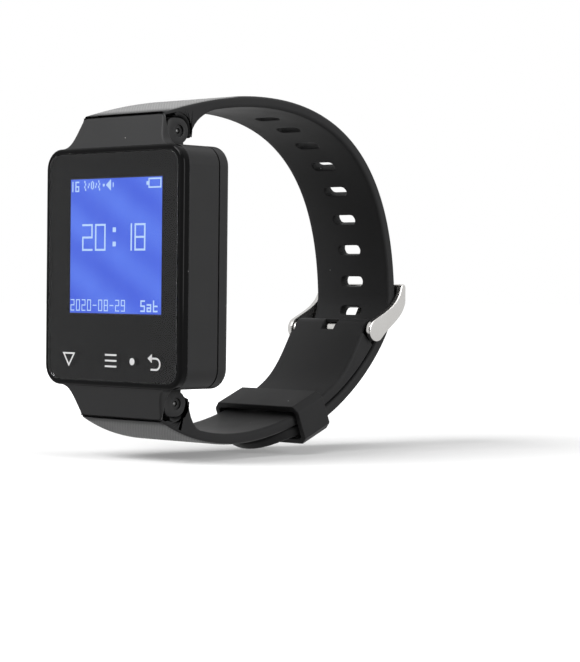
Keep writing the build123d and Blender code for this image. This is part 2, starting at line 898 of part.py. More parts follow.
with BuildPart() as strap_long:
    with BuildSketch(side_plane()):
        with BuildLine():
            tail_out = Spline(
                *shifted(lower_curve, lambda u: tail_offset(u) - strap_thick, tail_start, 1.0)
            )
            bend_out = add(bend_curve)
            back_out = add(back_curve)
            back_in = Spline(*shifted(back_curve, inner_face, upper_blend, 0.0))
            root_outline(1, back_in @ 0, back_curve % upper_blend)
            bend_in = Spline(*shifted(bend_curve, inner_face, 1.0, 0.0))
            tail_in = Spline(*shifted(lower_curve, tail_offset, 1.0, tail_start))
            Line(tail_in @ 1, tail_out @ 0)
        make_face()
    extrude(amount=root_half, both=True)
    extrude(planform.sketch, amount=4 * seam_z, mode=Mode.INTERSECT)
    add(upper_knuckle)
    # The tail ends in a rounded tongue.
    tip_y = (lower_curve @ tail_start).X
    with BuildSketch(Plane.XY.offset(back_z - strap_thick)):
        with Locations((0, tip_y)):
            Rectangle(4 * root_half, 2 * tail_tip_length)
        with Locations((0, tip_y + tail_tip_length)):
            Ellipse(strap_half, tail_tip_length, mode=Mode.SUBTRACT)
    extrude(amount=-2 * seam_z, mode=Mode.SUBTRACT)
    with BuildSketch(*hole_planes):
        SlotOverall(hole_width, hole_height)
    extrude(amount=2 * strap_thick, both=True, mode=Mode.SUBTRACT)
finish(strap_long, "strap_long", rubber)

# --------------------------------------------------------------------- short strap
lower_knuckle = root_knuckle(-1)
slot_half = tongue_width / 2 + slot_clear
slot_depth = tongue_eye_r + slot_clear
buckle_plane = Plane(
    origin=(0, buckle_y, buckle_z),
    x_dir=(1, 0, 0),
    z_dir=(0, cos(radians(buckle_heading)), sin(radians(buckle_heading))),
)

with BuildPart() as strap_short:
    with BuildSketch(side_plane()):
        with BuildLine():
            add(lower_curve)
            Line(lower_curve @ 1, lower_end - buckle_out * 2 * buckle_knuckle_r)
            under = Spline(*shifted(lower_curve, swelling_face, 1.0, root_blend, 25))
            root_outline(-1, under @ 1, -(lower_curve % root_blend))
        make_face()
        with Locations((buckle_y, buckle_z)):
            Circle(buckle_knuckle_r)
    extrude(amount=root_half, both=True)
    extrude(planform.sketch, amount=4 * seam_z, mode=Mode.INTERSECT)
    add(lower_knuckle)
    # The buckle end narrows to pass between the frame's bosses.
    with BuildSketch(buckle_plane.offset(-strap_end_length)):
        for side in (-1, 1):
            with Locations((side * (strap_end_half + root_half), 0)):
                Rectangle(2 * root_half, 6 * buckle_knuckle_r)
    extrude(amount=3 * strap_end_length, mode=Mode.SUBTRACT)
    # Bore for the buckle bar, and the slot that the tongue swings in.
    with BuildSketch(side_plane()):
        with Locations((buckle_y, buckle_z)):
            Circle(tube_diameter / 2 + knuckle_clear)
    extrude(amount=root_half, both=True, mode=Mode.SUBTRACT)
    with BuildSketch(buckle_plane.offset(-slot_depth)):
        Rectangle(2 * slot_half, 6 * buckle_knuckle_r)
    extrude(amount=3 * slot_depth, mode=Mode.SUBTRACT)
finish(strap_short, "strap_short", rubber)

# ---------------------------------------------------------------------- keeper
keeper_spot, keeper_tangent = lower_curve @ keeper_at, lower_curve % keeper_at
keeper_plane = Plane(
    origin=(0, keeper_spot.X, keeper_spot.Y),
    x_dir=(1, 0, 0),
    z_dir=(0, keeper_tangent.X, keeper_tangent.Y),
)
keeper_inner = strap_thick + keeper_inner_gap
keeper_outer = layer_gap + strap_thick + keeper_outer_gap
keeper_open = keeper_inner + keeper_outer
keeper_shift = (keeper_outer - keeper_inner) / 2

with BuildPart() as keeper_loop:
    with BuildSketch(keeper_plane):
        with Locations((0, keeper_shift)):
            Rectangle(2 * keeper_half, keeper_open + 2 * keeper_wall)
        chamfer(vertices(), keeper_bevel)
        with Locations((0, keeper_shift)):
            Rectangle(2 * (keeper_half - keeper_wall), keeper_open, mode=Mode.SUBTRACT)
    extrude(amount=keeper_length / 2, both=True)
finish(keeper_loop, "keeper_loop", rubber)

# ---------------------------------------------------------------- buckle frame
# Side view of one arm: an eye round the bar, swept up to the cross bar that
# lies over the long strap.
bar_inner_y = back_y + bar_gap
bar_outer_y = bar_inner_y + bar_thick
bar_top_z = back_z + bar_rise + bar_height / 2
bar_foot_z = bar_top_z - bar_height
eye_top = buckle_center + heading(buckle_heading + arm_top_angle) * arm_eye_r
eye_foot = buckle_center + heading(buckle_heading - arm_foot_angle) * arm_eye_r
eye_back = buckle_center - heading(buckle_heading) * arm_eye_r
arm_top = Vector(bar_inner_y, bar_top_z)
arm_foot = Vector(bar_outer_y, bar_foot_z)
arm_reach = (arm_top - eye_top).length

with BuildPart() as buckle_frame:
    with BuildSketch(side_plane(arm_inner_x)):
        with BuildLine():
            ThreePointArc(eye_foot, eye_back, eye_top)
            Bezier(
                eye_top,
                eye_top + heading(buckle_heading - arm_top_sweep) * arm_reach * arm_top_handle,
                arm_top - heading(back_heading - arm_bar_sweep) * arm_reach * arm_top_handle,
                arm_top,
            )
            Polyline(arm_top, (bar_outer_y, bar_top_z), arm_foot)
            Bezier(
                arm_foot,
                arm_foot - heading(back_heading - arm_foot_sweep) * arm_reach * arm_foot_handle,
                eye_foot + heading(buckle_heading - arm_foot_sweep) * arm_reach * arm_foot_handle,
                eye_foot,
            )
        make_face()
    extrude(amount=arm_thick)
    with BuildSketch(side_plane(boss_inner_x)):
        with Locations((buckle_y, buckle_z)):
            Circle(boss_radius)
    extrude(amount=boss_length)
    with BuildSketch(side_plane(boss_inner_x)):
        with Locations((buckle_y, buckle_z)):
            Circle(tip_diameter / 2 + tip_hole_clear)
    extrude(amount=buckle_tip_reach + joint_gap, mode=Mode.SUBTRACT)
    mirror(about=Plane.YZ)
    with BuildSketch(side_plane()):
        with Locations(((bar_inner_y + bar_outer_y) / 2, (bar_top_z + bar_foot_z) / 2)):
            Rectangle(bar_thick, bar_height)
    extrude(amount=arm_inner_x, both=True)
finish(buckle_frame, "buckle_frame", steel)

# --------------------------------------------------------------- buckle tongue
neck_end = buckle_center + buckle_out * (
    buckle_knuckle_r + layer_gap + strap_thick + tongue_gap + tongue_thick / 2
)
tongue_y = bar_outer_y + knuckle_clear + tongue_thick / 2

with BuildPart() as buckle_tongue:
    with BuildSketch(side_plane()):
        with BuildLine():
            FilletPolyline(
                buckle_center,
                neck_end,
                (tongue_y, bar_foot_z - tongue_thick / 2),
                (tongue_y, bar_foot_z + bar_height * tongue_cover),
                radius=tongue_thick * tongue_bend,
            )
        trace(line_width=tongue_thick)
        with Locations((buckle_y, buckle_z)):
            Circle(tongue_eye_r)
            Circle(tube_diameter / 2 + knuckle_clear, mode=Mode.SUBTRACT)
    extrude(amount=tongue_width / 2, both=True)
finish(buckle_tongue, "buckle_tongue", steel)


# ================================================================== spring bars
def side_disc(x, center, radius):
    """Disc about a bar's axis, in the side plane at x."""
    with BuildSketch(side_plane(x)) as disc:
        with Locations((center.X, center.Y)):
            Circle(radius)
    return disc.sketch


def bar_tube(center, half_length):
    """Tube that turns in the strap and holds the spring and both tips."""
    with BuildPart() as tube:
        extrude(side_disc(0, center, tube_diameter / 2), amount=half_length, both=True)
        extrude(
            side_disc(0, center, tube_bore / 2), amount=half_length, both=True,
            mode=Mode.SUBTRACT,
        )
    return tube


def bar_tip(center, inner_x, outer_x):
    """Pin end on the right-hand side, with a chamfered outer edge."""
    with BuildPart() as tip:
        extrude(side_disc(inner_x, center, tip_diameter / 2), amount=outer_x - inner_x)
        chamfer(tip.faces().sort_by(Axis.X)[-1].edges(), tip_diameter / 5)
    return tip


def bar_spring(center, half_length):
    """Closed sleeve of the fine coil between the tips."""
    with BuildPart() as spring:
        extrude(side_disc(0, center, tip_diameter / 2), amount=half_length, both=True)
        extrude(
            side_disc(0, center, tip_diameter / 4), amount=half_length, both=True,
            mode=Mode.SUBTRACT,
        )
    return spring


lug_half = ear_inner_x - tube_end_gap
buckle_half = boss_inner_x - tube_end_gap
bars = (
    ("upper", pin_spot(1), lug_half, ear_inner_x + tip_reach),
    ("lower", pin_spot(-1), lug_half, ear_inner_x + tip_reach),
    ("buckle", buckle_center, buckle_half, boss_inner_x + buckle_tip_reach),
)
for bar_name, center, half_length, tip_end_x in bars:
    finish(bar_tube(center, half_length), f"{bar_name}_bar_tube", steel)
    right_tip = bar_tip(center, half_length - tip_in_tube, tip_end_x)
    finish(right_tip, f"{bar_name}_bar_tip_right", steel)
    with BuildPart() as left_tip:
        add(mirror(right_tip.part, about=Plane.YZ, mode=Mode.PRIVATE))
    finish(left_tip, f"{bar_name}_bar_tip_left", steel)
    finish(bar_spring(center, half_length - tip_in_tube), f"{bar_name}_bar_spring", steel)
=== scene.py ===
# %% [markdown]
# # A wrist pager, dressed piece by piece
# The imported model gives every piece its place. This lesson puts the skins,
# prints and finishes on it: glass over a lit display, gloss and satin plastic,
# soft rubber and polished steel. Lengths below are written in millimetres and
# turned into metres when a mesh is made.

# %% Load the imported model
import json
from math import cos, pi, radians, sin

import bmesh
import bpy
import numpy as np
from mathutils import Matrix, Vector

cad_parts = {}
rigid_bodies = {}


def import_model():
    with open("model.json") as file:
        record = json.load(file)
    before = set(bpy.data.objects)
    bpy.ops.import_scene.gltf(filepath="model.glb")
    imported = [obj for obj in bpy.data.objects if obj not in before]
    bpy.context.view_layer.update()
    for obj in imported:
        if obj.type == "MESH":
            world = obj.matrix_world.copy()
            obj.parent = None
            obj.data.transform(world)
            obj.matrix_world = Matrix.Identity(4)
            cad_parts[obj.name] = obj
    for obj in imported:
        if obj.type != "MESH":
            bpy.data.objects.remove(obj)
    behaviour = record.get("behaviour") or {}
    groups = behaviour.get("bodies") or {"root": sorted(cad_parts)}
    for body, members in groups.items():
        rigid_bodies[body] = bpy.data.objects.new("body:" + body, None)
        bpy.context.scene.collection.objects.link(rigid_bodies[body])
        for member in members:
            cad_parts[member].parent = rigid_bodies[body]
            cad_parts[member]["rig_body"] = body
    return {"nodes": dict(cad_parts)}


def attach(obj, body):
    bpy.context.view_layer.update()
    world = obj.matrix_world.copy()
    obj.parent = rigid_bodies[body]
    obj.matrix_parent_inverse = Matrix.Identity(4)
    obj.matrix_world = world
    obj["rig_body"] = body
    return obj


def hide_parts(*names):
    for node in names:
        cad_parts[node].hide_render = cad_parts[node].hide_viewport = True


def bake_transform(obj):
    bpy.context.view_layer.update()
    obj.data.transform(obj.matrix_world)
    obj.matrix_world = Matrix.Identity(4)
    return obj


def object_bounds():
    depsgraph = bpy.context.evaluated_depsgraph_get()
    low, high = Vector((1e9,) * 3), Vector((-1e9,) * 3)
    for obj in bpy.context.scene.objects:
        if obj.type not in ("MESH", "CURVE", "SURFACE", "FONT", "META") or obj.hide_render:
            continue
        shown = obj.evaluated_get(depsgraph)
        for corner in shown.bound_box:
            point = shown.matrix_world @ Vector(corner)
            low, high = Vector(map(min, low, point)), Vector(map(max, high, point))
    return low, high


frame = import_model()
cad_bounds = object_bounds()
mm = 0.001

# %% [markdown]
# ## Camera and light
# The camera comes first, because every later choice is judged through it. It
# stands to the right of the display, level with it, with a long lens. The
# light is plain: an even grey world, one wide lamp above, one at each side.

# %% Camera
scene = bpy.context.scene
scene.view_settings.view_transform = "Standard"


def look_axes(azimuth, elevation, roll):
    """Right, up and back axes of a camera: back points from the object to it, roll turns it."""
    back = np.array(
        [sin(azimuth) * cos(elevation), -cos(azimuth) * cos(elevation), sin(elevation)]
    )
    level = np.array([cos(azimuth), sin(azimuth), 0.0])
    upright = np.cross(back, level)
    right = cos(roll) * level + sin(roll) * upright
    up = -sin(roll) * level + cos(roll) * upright
    return right, up, back


camera_data = bpy.data.cameras.new("camera")
camera_data.lens = 117.7
camera_data.sensor_width = 36.0
camera_data.clip_start = 0.01
camera = bpy.data.objects.new("camera", camera_data)
scene.collection.objects.link(camera)
turn = np.eye(4)
turn[:3, :3] = np.array(look_axes(radians(43.34), radians(1.1), radians(0.63))).T
turn[:3, 3] = np.array([310.2, -291.2, -3.95]) * mm
camera.matrix_world = Matrix(turn.tolist())
scene.camera = camera
print("camera at", [round(v, 3) for v in camera.location])


# %% Lamps and world
def lamp(name, place, target, size, power):
    """Square area lamp that faces a target point; places are metres."""
    data = bpy.data.lights.new(name, "AREA")
    data.size, data.energy = size, power
    made = bpy.data.objects.new(name, data)
    scene.collection.objects.link(made)
    made.location = place
    aim = Vector(target) - Vector(place)
    made.rotation_euler = aim.to_track_quat("-Z", "Y").to_euler()
    return made


middle = (0.0, 0.025, 0.0)
lamp("lamp_above", (0.15, -0.10, 0.70), middle, 0.60, 2.2)
lamp("lamp_left", (-0.14, -0.58, 0.54), middle, 0.44, 7.8)
lamp("lamp_right", (0.75, 0.15, 0.20), middle, 0.45, 4.1)

world = bpy.data.worlds.new("studio")
world.use_nodes = True
scene.world = world
sky = world.node_tree
sky.nodes.clear()
path = sky.nodes.new("ShaderNodeLightPath")
seen_or_mirrored = sky.nodes.new("ShaderNodeMath")
seen_or_mirrored.operation = "MAXIMUM"
shows_white = sky.nodes.new("ShaderNodeMath")
shows_white.operation = "MAXIMUM"
even = sky.nodes.new("ShaderNodeBackground")
even.inputs["Color"].default_value = (0.15, 0.15, 0.15, 1.0)
white = sky.nodes.new("ShaderNodeBackground")
white.inputs["Color"].default_value = (1.0, 1.0, 1.0, 1.0)
choose = sky.nodes.new("ShaderNodeMixShader")
sky_out = sky.nodes.new("ShaderNodeOutputWorld")
sky.links.new(path.outputs["Is Camera Ray"], seen_or_mirrored.inputs[0])
sky.links.new(path.outputs["Is Glossy Ray"], seen_or_mirrored.inputs[1])
sky.links.new(seen_or_mirrored.outputs[0], shows_white.inputs[0])
sky.links.new(path.outputs["Is Transmission Ray"], shows_white.inputs[1])
sky.links.new(shows_white.outputs[0], choose.inputs[0])
sky.links.new(even.outputs[0], choose.inputs[1])
sky.links.new(white.outputs[0], choose.inputs[2])
sky.links.new(choose.outputs[0], sky_out.inputs["Surface"])

# %% [markdown]
# ## Small tools for nodes
# A finish is a tree of nodes. Two short helpers keep the trees readable: one
# adds a node with its settings and links, the other starts a named group whose
# sockets can be set again for each material.


# %% Node helpers
def node(tree, kind, inputs=None, **settings):
    """Add a shader node; an input given as a socket is linked, anything else is set."""
    made = tree.nodes.new("ShaderNode" + kind)
    for key, value in settings.items():
        setattr(made, key, value)
    for key, value in (inputs or {}).items():
        if isinstance(value, bpy.types.NodeSocket):
            tree.links.new(value, made.inputs[key])
        else:
            made.inputs[key].default_value = value
    return made


def start_group(name, inputs, outputs):
    """New shader group with float inputs (name, default) and named outputs."""
    tree = bpy.data.node_groups.new(name, "ShaderNodeTree")
    for label, default in inputs:
        socket = tree.interface.new_socket(label, in_out="INPUT", socket_type="NodeSocketFloat")
        socket.default_value = default
    for label in outputs:
        tree.interface.new_socket(label, in_out="OUTPUT", socket_type="NodeSocketFloat")
    return tree, tree.nodes.new("NodeGroupInput").outputs, tree.nodes.new("NodeGroupOutput").inputs


def math(tree, operation, a, b=0.0):
    """One Math node; a and b are sockets or numbers. Gives its output socket."""
    return node(tree, "Math", {0: a, 1: b}, operation=operation).outputs[0]


def per_mm(tree, size):
    """Object coordinates divided by a size in millimetres, for a texture with scale 1."""
    place = node(tree, "TexCoord").outputs["Object"]
    factor = math(tree, "DIVIDE", 1000.0, size)
    return node(tree, "VectorMath", {0: place, "Scale": factor}, operation="SCALE").outputs[0]


# %% [markdown]
# ## Effects shared by several finishes
# Moulded plastic has a fine spark-eroded grain and broad, faint changes in
# gloss. Handled edges are rubbed lighter; on the gloss rim the same lighter
# edges are a painted highlight. Dust settles in single specks. Each
# is one group, and every material gives it its own sizes.

# %% Grain, rubbed edges with painted highlight, and dust
grain_group, g_in, g_out = start_group(
    "moulded_grain", [("Grain mm", 0.2), ("Patch mm", 9.0)], ["Grain", "Patches"]
)
fine = node(
    grain_group, "TexNoise",
    {"Vector": per_mm(grain_group, g_in["Grain mm"]), "Scale": 1.0, "Detail": 3.0},
)
broad = node(
    grain_group, "TexNoise",
    {"Vector": per_mm(grain_group, g_in["Patch mm"]), "Scale": 1.0, "Detail": 2.0},
)
grain_group.links.new(fine.outputs["Fac"], g_out["Grain"])
grain_group.links.new(broad.outputs["Fac"], g_out["Patches"])

edge_wear_and_highlight_group, w_in, w_out = start_group(
    "rubbed_edges_and_highlight", [("Width mm", 0.25), ("Amount", 0.6)], ["Mask"]
)
width_m = math(edge_wear_and_highlight_group, "MULTIPLY", w_in["Width mm"], mm)
rounded = node(edge_wear_and_highlight_group, "Bevel", {"Radius": width_m}, samples=4).outputs[0]
facing = node(edge_wear_and_highlight_group, "NewGeometry").outputs["Normal"]
aligned = node(edge_wear_and_highlight_group, "VectorMath", {0: rounded, 1: facing}, operation="DOT_PRODUCT")
edge = math(edge_wear_and_highlight_group, "SUBTRACT", 1.0, aligned.outputs["Value"])
edge = math(edge_wear_and_highlight_group, "MULTIPLY", edge, 6.0)
uneven = node(
    edge_wear_and_highlight_group, "TexNoise", {"Vector": per_mm(edge_wear_and_highlight_group, 2.5), "Scale": 1.0, "Detail": 2.0}
).outputs["Fac"]
edge = math(edge_wear_and_highlight_group, "MULTIPLY", edge, uneven)
edge = math(edge_wear_and_highlight_group, "MULTIPLY", edge, w_in["Amount"])
edge_wear_and_highlight_group.links.new(math(edge_wear_and_highlight_group, "MINIMUM", edge, 1.0), w_out["Mask"])

dust_group, d_in, d_out = start_group(
    "dust_specks", [("Spacing mm", 4.0), ("Speck", 0.035)], ["Mask"]
)
cells = node(
    dust_group, "TexVoronoi",
    {"Vector": per_mm(dust_group, d_in["Spacing mm"]), "Scale": 1.0},
)
speck = math(dust_group, "LESS_THAN", cells.outputs["Distance"], d_in["Speck"])
chosen = node(dust_group, "SeparateColor", {"Color": cells.outputs["Color"]}).outputs[0]
chosen = math(dust_group, "GREATER_THAN", chosen, 0.45)
dust_group.links.new(math(dust_group, "MULTIPLY", speck, chosen), d_out["Mask"])

# %% [markdown]
# Steel that is brushed or drawn shows lines in one direction: noise squeezed
# across the lines and stretched along them. The band's root carries a fine
# check, worked out from the distance along and across the strap.

# %% Brushed lines, fine check and plain cells
brush_group, b_in, b_out = start_group(
    "brushed_lines", [("Long mm", 6.0), ("Fine mm", 0.06)], ["Lines"]
)
place = node(brush_group, "SeparateXYZ", {0: node(brush_group, "TexCoord").outputs["Object"]})
long_m = math(brush_group, "MULTIPLY", b_in["Long mm"], mm)
fine_m = math(brush_group, "MULTIPLY", b_in["Fine mm"], mm)
stretched = node(
    brush_group, "CombineXYZ",
    {
        0: math(brush_group, "DIVIDE", place.outputs[0], fine_m),
        1: math(brush_group, "DIVIDE", place.outputs[1], long_m),
        2: math(brush_group, "DIVIDE", place.outputs[2], fine_m),
    },
).outputs[0]
lines = node(brush_group, "TexNoise", {"Vector": stretched, "Scale": 1.0, "Detail": 3.0})
brush_group.links.new(lines.outputs["Fac"], b_out["Lines"])

check_group, c_in, c_out = start_group(
    "fine_check", [("Along", 0.0), ("Across", 0.0), ("Pitch mm", 0.7), ("Zone", 0.0)], ["Height"]
)
pitch_m = math(check_group, "MULTIPLY", c_in["Pitch mm"], mm)


def check_wave(distance):
    """Sine of 2 pi times the distance over the pitch."""
    turns = math(check_group, "MULTIPLY", distance, 2 * pi)
    return math(check_group, "SINE", math(check_group, "DIVIDE", turns, pitch_m))


down = check_wave(c_in["Along"])
over = check_wave(c_in["Across"])
checks = math(check_group, "MULTIPLY", down, over)
checks = math(check_group, "MULTIPLY", math(check_group, "ADD", checks, 1.0), 0.5)
check_group.links.new(math(check_group, "MULTIPLY", checks, c_in["Zone"]), c_out["Height"])

cells_group, k_in, k_out = start_group("cell_pattern", [("Cell mm", 0.5)], ["Edge", "Shade"])
cell_place = per_mm(cells_group, k_in["Cell mm"])
walls = node(cells_group, "TexVoronoi", {"Vector": cell_place, "Scale": 1.0}, feature="DISTANCE_TO_EDGE")
shades = node(cells_group, "TexVoronoi", {"Vector": cell_place, "Scale": 1.0})
cells_group.links.new(walls.outputs["Distance"], k_out["Edge"])
cells_group.links.new(
    node(cells_group, "SeparateColor", {"Color": shades.outputs["Color"]}).outputs[0], k_out["Shade"]
)


# %% [markdown]
# ## The general finish
# Most pieces share one recipe: two close colours mixed by the broad patches, a
# roughness that follows the same patches, a bump from the grain, lighter
# rubbed edges (on the gloss rim a painted highlight) and a little dust. The numbers say what the surface is.


# %% Finish recipe
def use(tree, group, values=None):
    """Place a shader group in a material with its own values or links."""
    placed = node(tree, "Group", node_tree=group)
    for key, value in (values or {}).items():
        if isinstance(value, bpy.types.NodeSocket):
            tree.links.new(value, placed.inputs[key])
        else:
            placed.inputs[key].default_value = value
    return placed.outputs


def mix_color(tree, amount, first, second):
    """Mix two colours, given as tuples or sockets, by a factor."""
    mixed = node(tree, "Mix", {0: amount}, data_type="RGBA")
    for slot, value in ((6, first), (7, second)):
        if isinstance(value, bpy.types.NodeSocket):
            tree.links.new(value, mixed.inputs[slot])
        else:
            mixed.inputs[slot].default_value = (*value, 1.0)
    return mixed.outputs[2]


def spread(tree, value, low, high):
    """Carry a 0 to 1 value onto the range low to high."""
    return node(tree, "MapRange", {"Value": value, "To Min": low, "To Max": high}).outputs[0]


def blank(name, **constants):
    """Material with a Principled shader and constant sockets; underscores stand for spaces."""
    material = bpy.data.materials.new(name)
    material.use_nodes = True
    tree = material.node_tree
    shader = tree.nodes["Principled BSDF"]
    for key, value in constants.items():
        shader.inputs[key.replace("_", " ")].default_value = value
    return material, tree, shader


def moulded(name, dark, light, rough, grain=0.2, depth=0.006, wear_and_highlight=0.4, dust=0.0, worn_and_highlight=None, **constants):
    """Plastic, rubber or metal by the general recipe; rough is (low, high), sizes are mm."""
    material, tree, shader = blank(name, **constants)
    skin = use(tree, grain_group, {"Grain mm": grain})
    color = mix_color(tree, skin["Patches"], dark, light)
    rough_value = spread(tree, skin["Patches"], *rough)
    if wear_and_highlight:
        # Lighter edges: rubbed wear, and on the gloss rim a painted highlight along its edges
        edge_wear_and_highlight_mask = use(tree, edge_wear_and_highlight_group, {"Amount": wear_and_highlight})["Mask"]
        color = mix_color(tree, edge_wear_and_highlight_mask, color, worn_and_highlight or tuple(min(1.0, 1.8 * v + 0.02) for v in light))
    if dust:
        specks = use(tree, dust_group, {"Speck": dust})["Mask"]
        color = mix_color(tree, specks, color, (0.35, 0.34, 0.33))
    tree.links.new(color, shader.inputs["Base Color"])
    tree.links.new(rough_value, shader.inputs["Roughness"])
    bump = node(tree, "Bump", {"Height": skin["Grain"], "Distance": depth * mm, "Strength": 1.0})
    tree.links.new(bump.outputs[0], shader.inputs["Normal"])
    return material


# %% Plastic, rubber and metal
# The gloss rim's strongly lightened edges are a painted highlight, thin light lines along its edges
gloss_black = moulded(
    "gloss_black", (0.0012, 0.0012, 0.0014), (0.0022, 0.0022, 0.0024), (0.08, 0.16),
    grain=0.6, depth=0.001, wear_and_highlight=0.9, worn_and_highlight=(0.11, 0.11, 0.11), dust=0.02,
    Specular_IOR_Level=0.03, Coat_Weight=0.08, Coat_Roughness=0.05,
)
satin_black = moulded(
    "satin_black", (0.0165, 0.0165, 0.017), (0.022, 0.022, 0.0225), (0.40, 0.52),
    grain=0.12, depth=0.004, wear_and_highlight=0.35, dust=0.025, Specular_IOR_Level=0.14,
)
gasket_rubber = moulded("gasket_rubber", (0.004, 0.004, 0.004), (0.008, 0.008, 0.008), (0.6, 0.75), wear_and_highlight=0.0)
inner_black = moulded("inner_black", (0.014, 0.014, 0.015), (0.022, 0.022, 0.023), (0.5, 0.7))
ink_black = moulded(
    "ink_black", (0.0004, 0.0004, 0.0005), (0.0008, 0.0008, 0.0009), (0.35, 0.5),
    depth=0.0003, wear_and_highlight=0.0, Specular_IOR_Level=0.05,
)
key_print = moulded(
    "key_print", (0.58, 0.58, 0.58), (0.68, 0.68, 0.68), (0.4, 0.55), grain=0.1, depth=0.001, wear_and_highlight=0.0
)


def metal(name, dark, light, rough, long=6.0, fine=0.06, depth=0.0015, wear_and_highlight=0.3):
    """Drawn or brushed metal: lines drive colour, roughness and bump, edges are bright."""
    material, tree, shader = blank(name, Metallic=1.0)
    drawn = use(tree, brush_group, {"Long mm": long, "Fine mm": fine})["Lines"]
    skin = use(tree, grain_group, {"Grain mm": 0.4, "Patch mm": 5.0})
    color = mix_color(tree, skin["Patches"], dark, light)
    worn_and_highlight = use(tree, edge_wear_and_highlight_group, {"Amount": wear_and_highlight})["Mask"]
    color = mix_color(tree, worn_and_highlight, color, tuple(min(1.0, v * 1.15) for v in light))
    tree.links.new(color, shader.inputs["Base Color"])
    tree.links.new(spread(tree, drawn, *rough), shader.inputs["Roughness"])
    bump = node(tree, "Bump", {"Height": drawn, "Distance": depth * mm, "Strength": 1.0})
    tree.links.new(bump.outputs[0], shader.inputs["Normal"])
    return material


polished_steel = metal("polished_steel", (0.50, 0.49, 0.475), (0.59, 0.58, 0.565), (0.16, 0.30))
bar_steel = metal("bar_steel", (0.42, 0.42, 0.43), (0.58, 0.58, 0.59), (0.25, 0.45), long=0.08)
# The bar tips are coloured near black: painted shade, so the pin ends look as if they lie in a dark recess
painted_shade_tip_steel = metal("painted_shade_tip_steel", (0.07, 0.07, 0.07), (0.11, 0.11, 0.11), (0.35, 0.5), long=0.08)
can_steel = metal("can_steel", (0.55, 0.56, 0.58), (0.68, 0.69, 0.70), (0.25, 0.40), long=3.0)
contact_gold = metal("contact_gold", (0.78, 0.55, 0.20), (0.92, 0.70, 0.32), (0.12, 0.25), long=0.5)
magnet_nickel = metal("magnet_nickel", (0.50, 0.49, 0.46), (0.62, 0.61, 0.58), (0.18, 0.35), long=0.3)

# %% [markdown]
# ## Rubber of the band
# Moulded silicone is a very dark grey, dull, with a soft sheen at grazing
# angles. Its face is slightly mottled, and fine lint clings to it. Near the
# lug the outer face carries the fine check, coloured much lighter: partly the
# check's own lighter look, partly painted light that makes up for the little light reaching it.


# %% Band rubber
def band_rubber(name):
    material, tree, shader = blank(name, Sheen_Weight=0.02, Sheen_Roughness=0.4, Specular_IOR_Level=0.10)
    skin = use(tree, grain_group, {"Grain mm": 0.15, "Patch mm": 7.0})
    values = {}
    for label in ("along", "across", "zone"):
        values[label] = node(tree, "Attribute", attribute_name=label).outputs["Fac"]
    check = use(
        tree, check_group,
        {"Along": values["along"], "Across": values["across"], "Zone": values["zone"], "Pitch mm": 0.75},
    )["Height"]
    color = mix_color(tree, skin["Patches"], (0.016, 0.016, 0.0165), (0.024, 0.024, 0.0245))
    # The check zone and its crests are coloured lighter: partly the texture's own look, partly painted light
    # for the little light it gets
    color = mix_color(tree, math(tree, "MULTIPLY", values["zone"], 0.6), color, (0.27, 0.27, 0.27))
    color = mix_color(tree, math(tree, "MULTIPLY", check, 0.35), color, (0.40, 0.40, 0.40))
    lint = use(tree, dust_group, {"Spacing mm": 5.0, "Speck": 0.03})["Mask"]
    color = mix_color(tree, lint, color, (0.2, 0.2, 0.2))
    height = math(tree, "ADD", math(tree, "MULTIPLY", check, 5.0), skin["Grain"])
    bump = node(tree, "Bump", {"Height": height, "Distance": 0.008 * mm, "Strength": 1.0})
    tree.links.new(color, shader.inputs["Base Color"])
    tree.links.new(spread(tree, skin["Patches"], 0.48, 0.64), shader.inputs["Roughness"])
    tree.links.new(bump.outputs[0], shader.inputs["Normal"])
    return material


rubber = band_rubber("band_rubber")

# %% [markdown]
# ## Grids, lofts and turned shapes
# Nearly every skin here is a stack of closed loops: a rounded rectangle whose
# inset changes with depth, a side outline carried across the width, or circles
# of changing radius. One function turns such a stack into faces.


# %% Mesh tools
def grid_quads(rows, cols, wrap_rows=False, wrap_cols=False):
    """Corner numbers of the quads between neighbours in a grid stored row by row."""
    r, c = np.meshgrid(
        np.arange(rows if wrap_rows else rows - 1),
        np.arange(cols if wrap_cols else cols - 1),
        indexing="ij",
    )
    r2, c2 = (r + 1) % rows, (c + 1) % cols
    return np.stack([r * cols + c, r * cols + c2, r2 * cols + c2, r2 * cols + c], -1).reshape(-1, 4)


def loft(loops, ring=False):
    """Closed shell from loops (n, m, 3): open stacks get flat ends, a ring joins its ends."""
    n, m, _ = loops.shape
    faces = grid_quads(n, m, wrap_rows=ring, wrap_cols=True).tolist()
    if not ring:
        faces += [list(range(m)), list(range((n - 1) * m, n * m))]
    return loops.reshape(-1, 3), faces


def rounded_rect(half_w, half_h, radius, steps=8):
    """Closed loop (u, v): quarter circles of the radius about the four inner corners."""
    radius = max(radius, 0.02)
    quarter = np.linspace(0, pi / 2, steps)
    loop = []
    for corner, (su, sv) in enumerate(((1, 1), (-1, 1), (-1, -1), (1, -1))):
        angle = quarter + corner * pi / 2
        loop.append(
            np.c_[
                su * (half_w - radius) + radius * np.cos(angle),
                sv * (half_h - radius) + radius * np.sin(angle),
            ]
        )
    return np.concatenate(loop)


def front_loops(half_w, half_h, radius, profile, center=(0.0, 0.0)):
    """Rounded rectangles seen from the front: each profile row is (inset, y)."""
    rows = []
    for inset, y in profile:
        loop = rounded_rect(half_w - inset, half_h - inset, radius - inset)
        rows.append(np.c_[loop[:, 0] + center[0], np.full(len(loop), y), loop[:, 1] + center[1]])
    return np.array(rows)


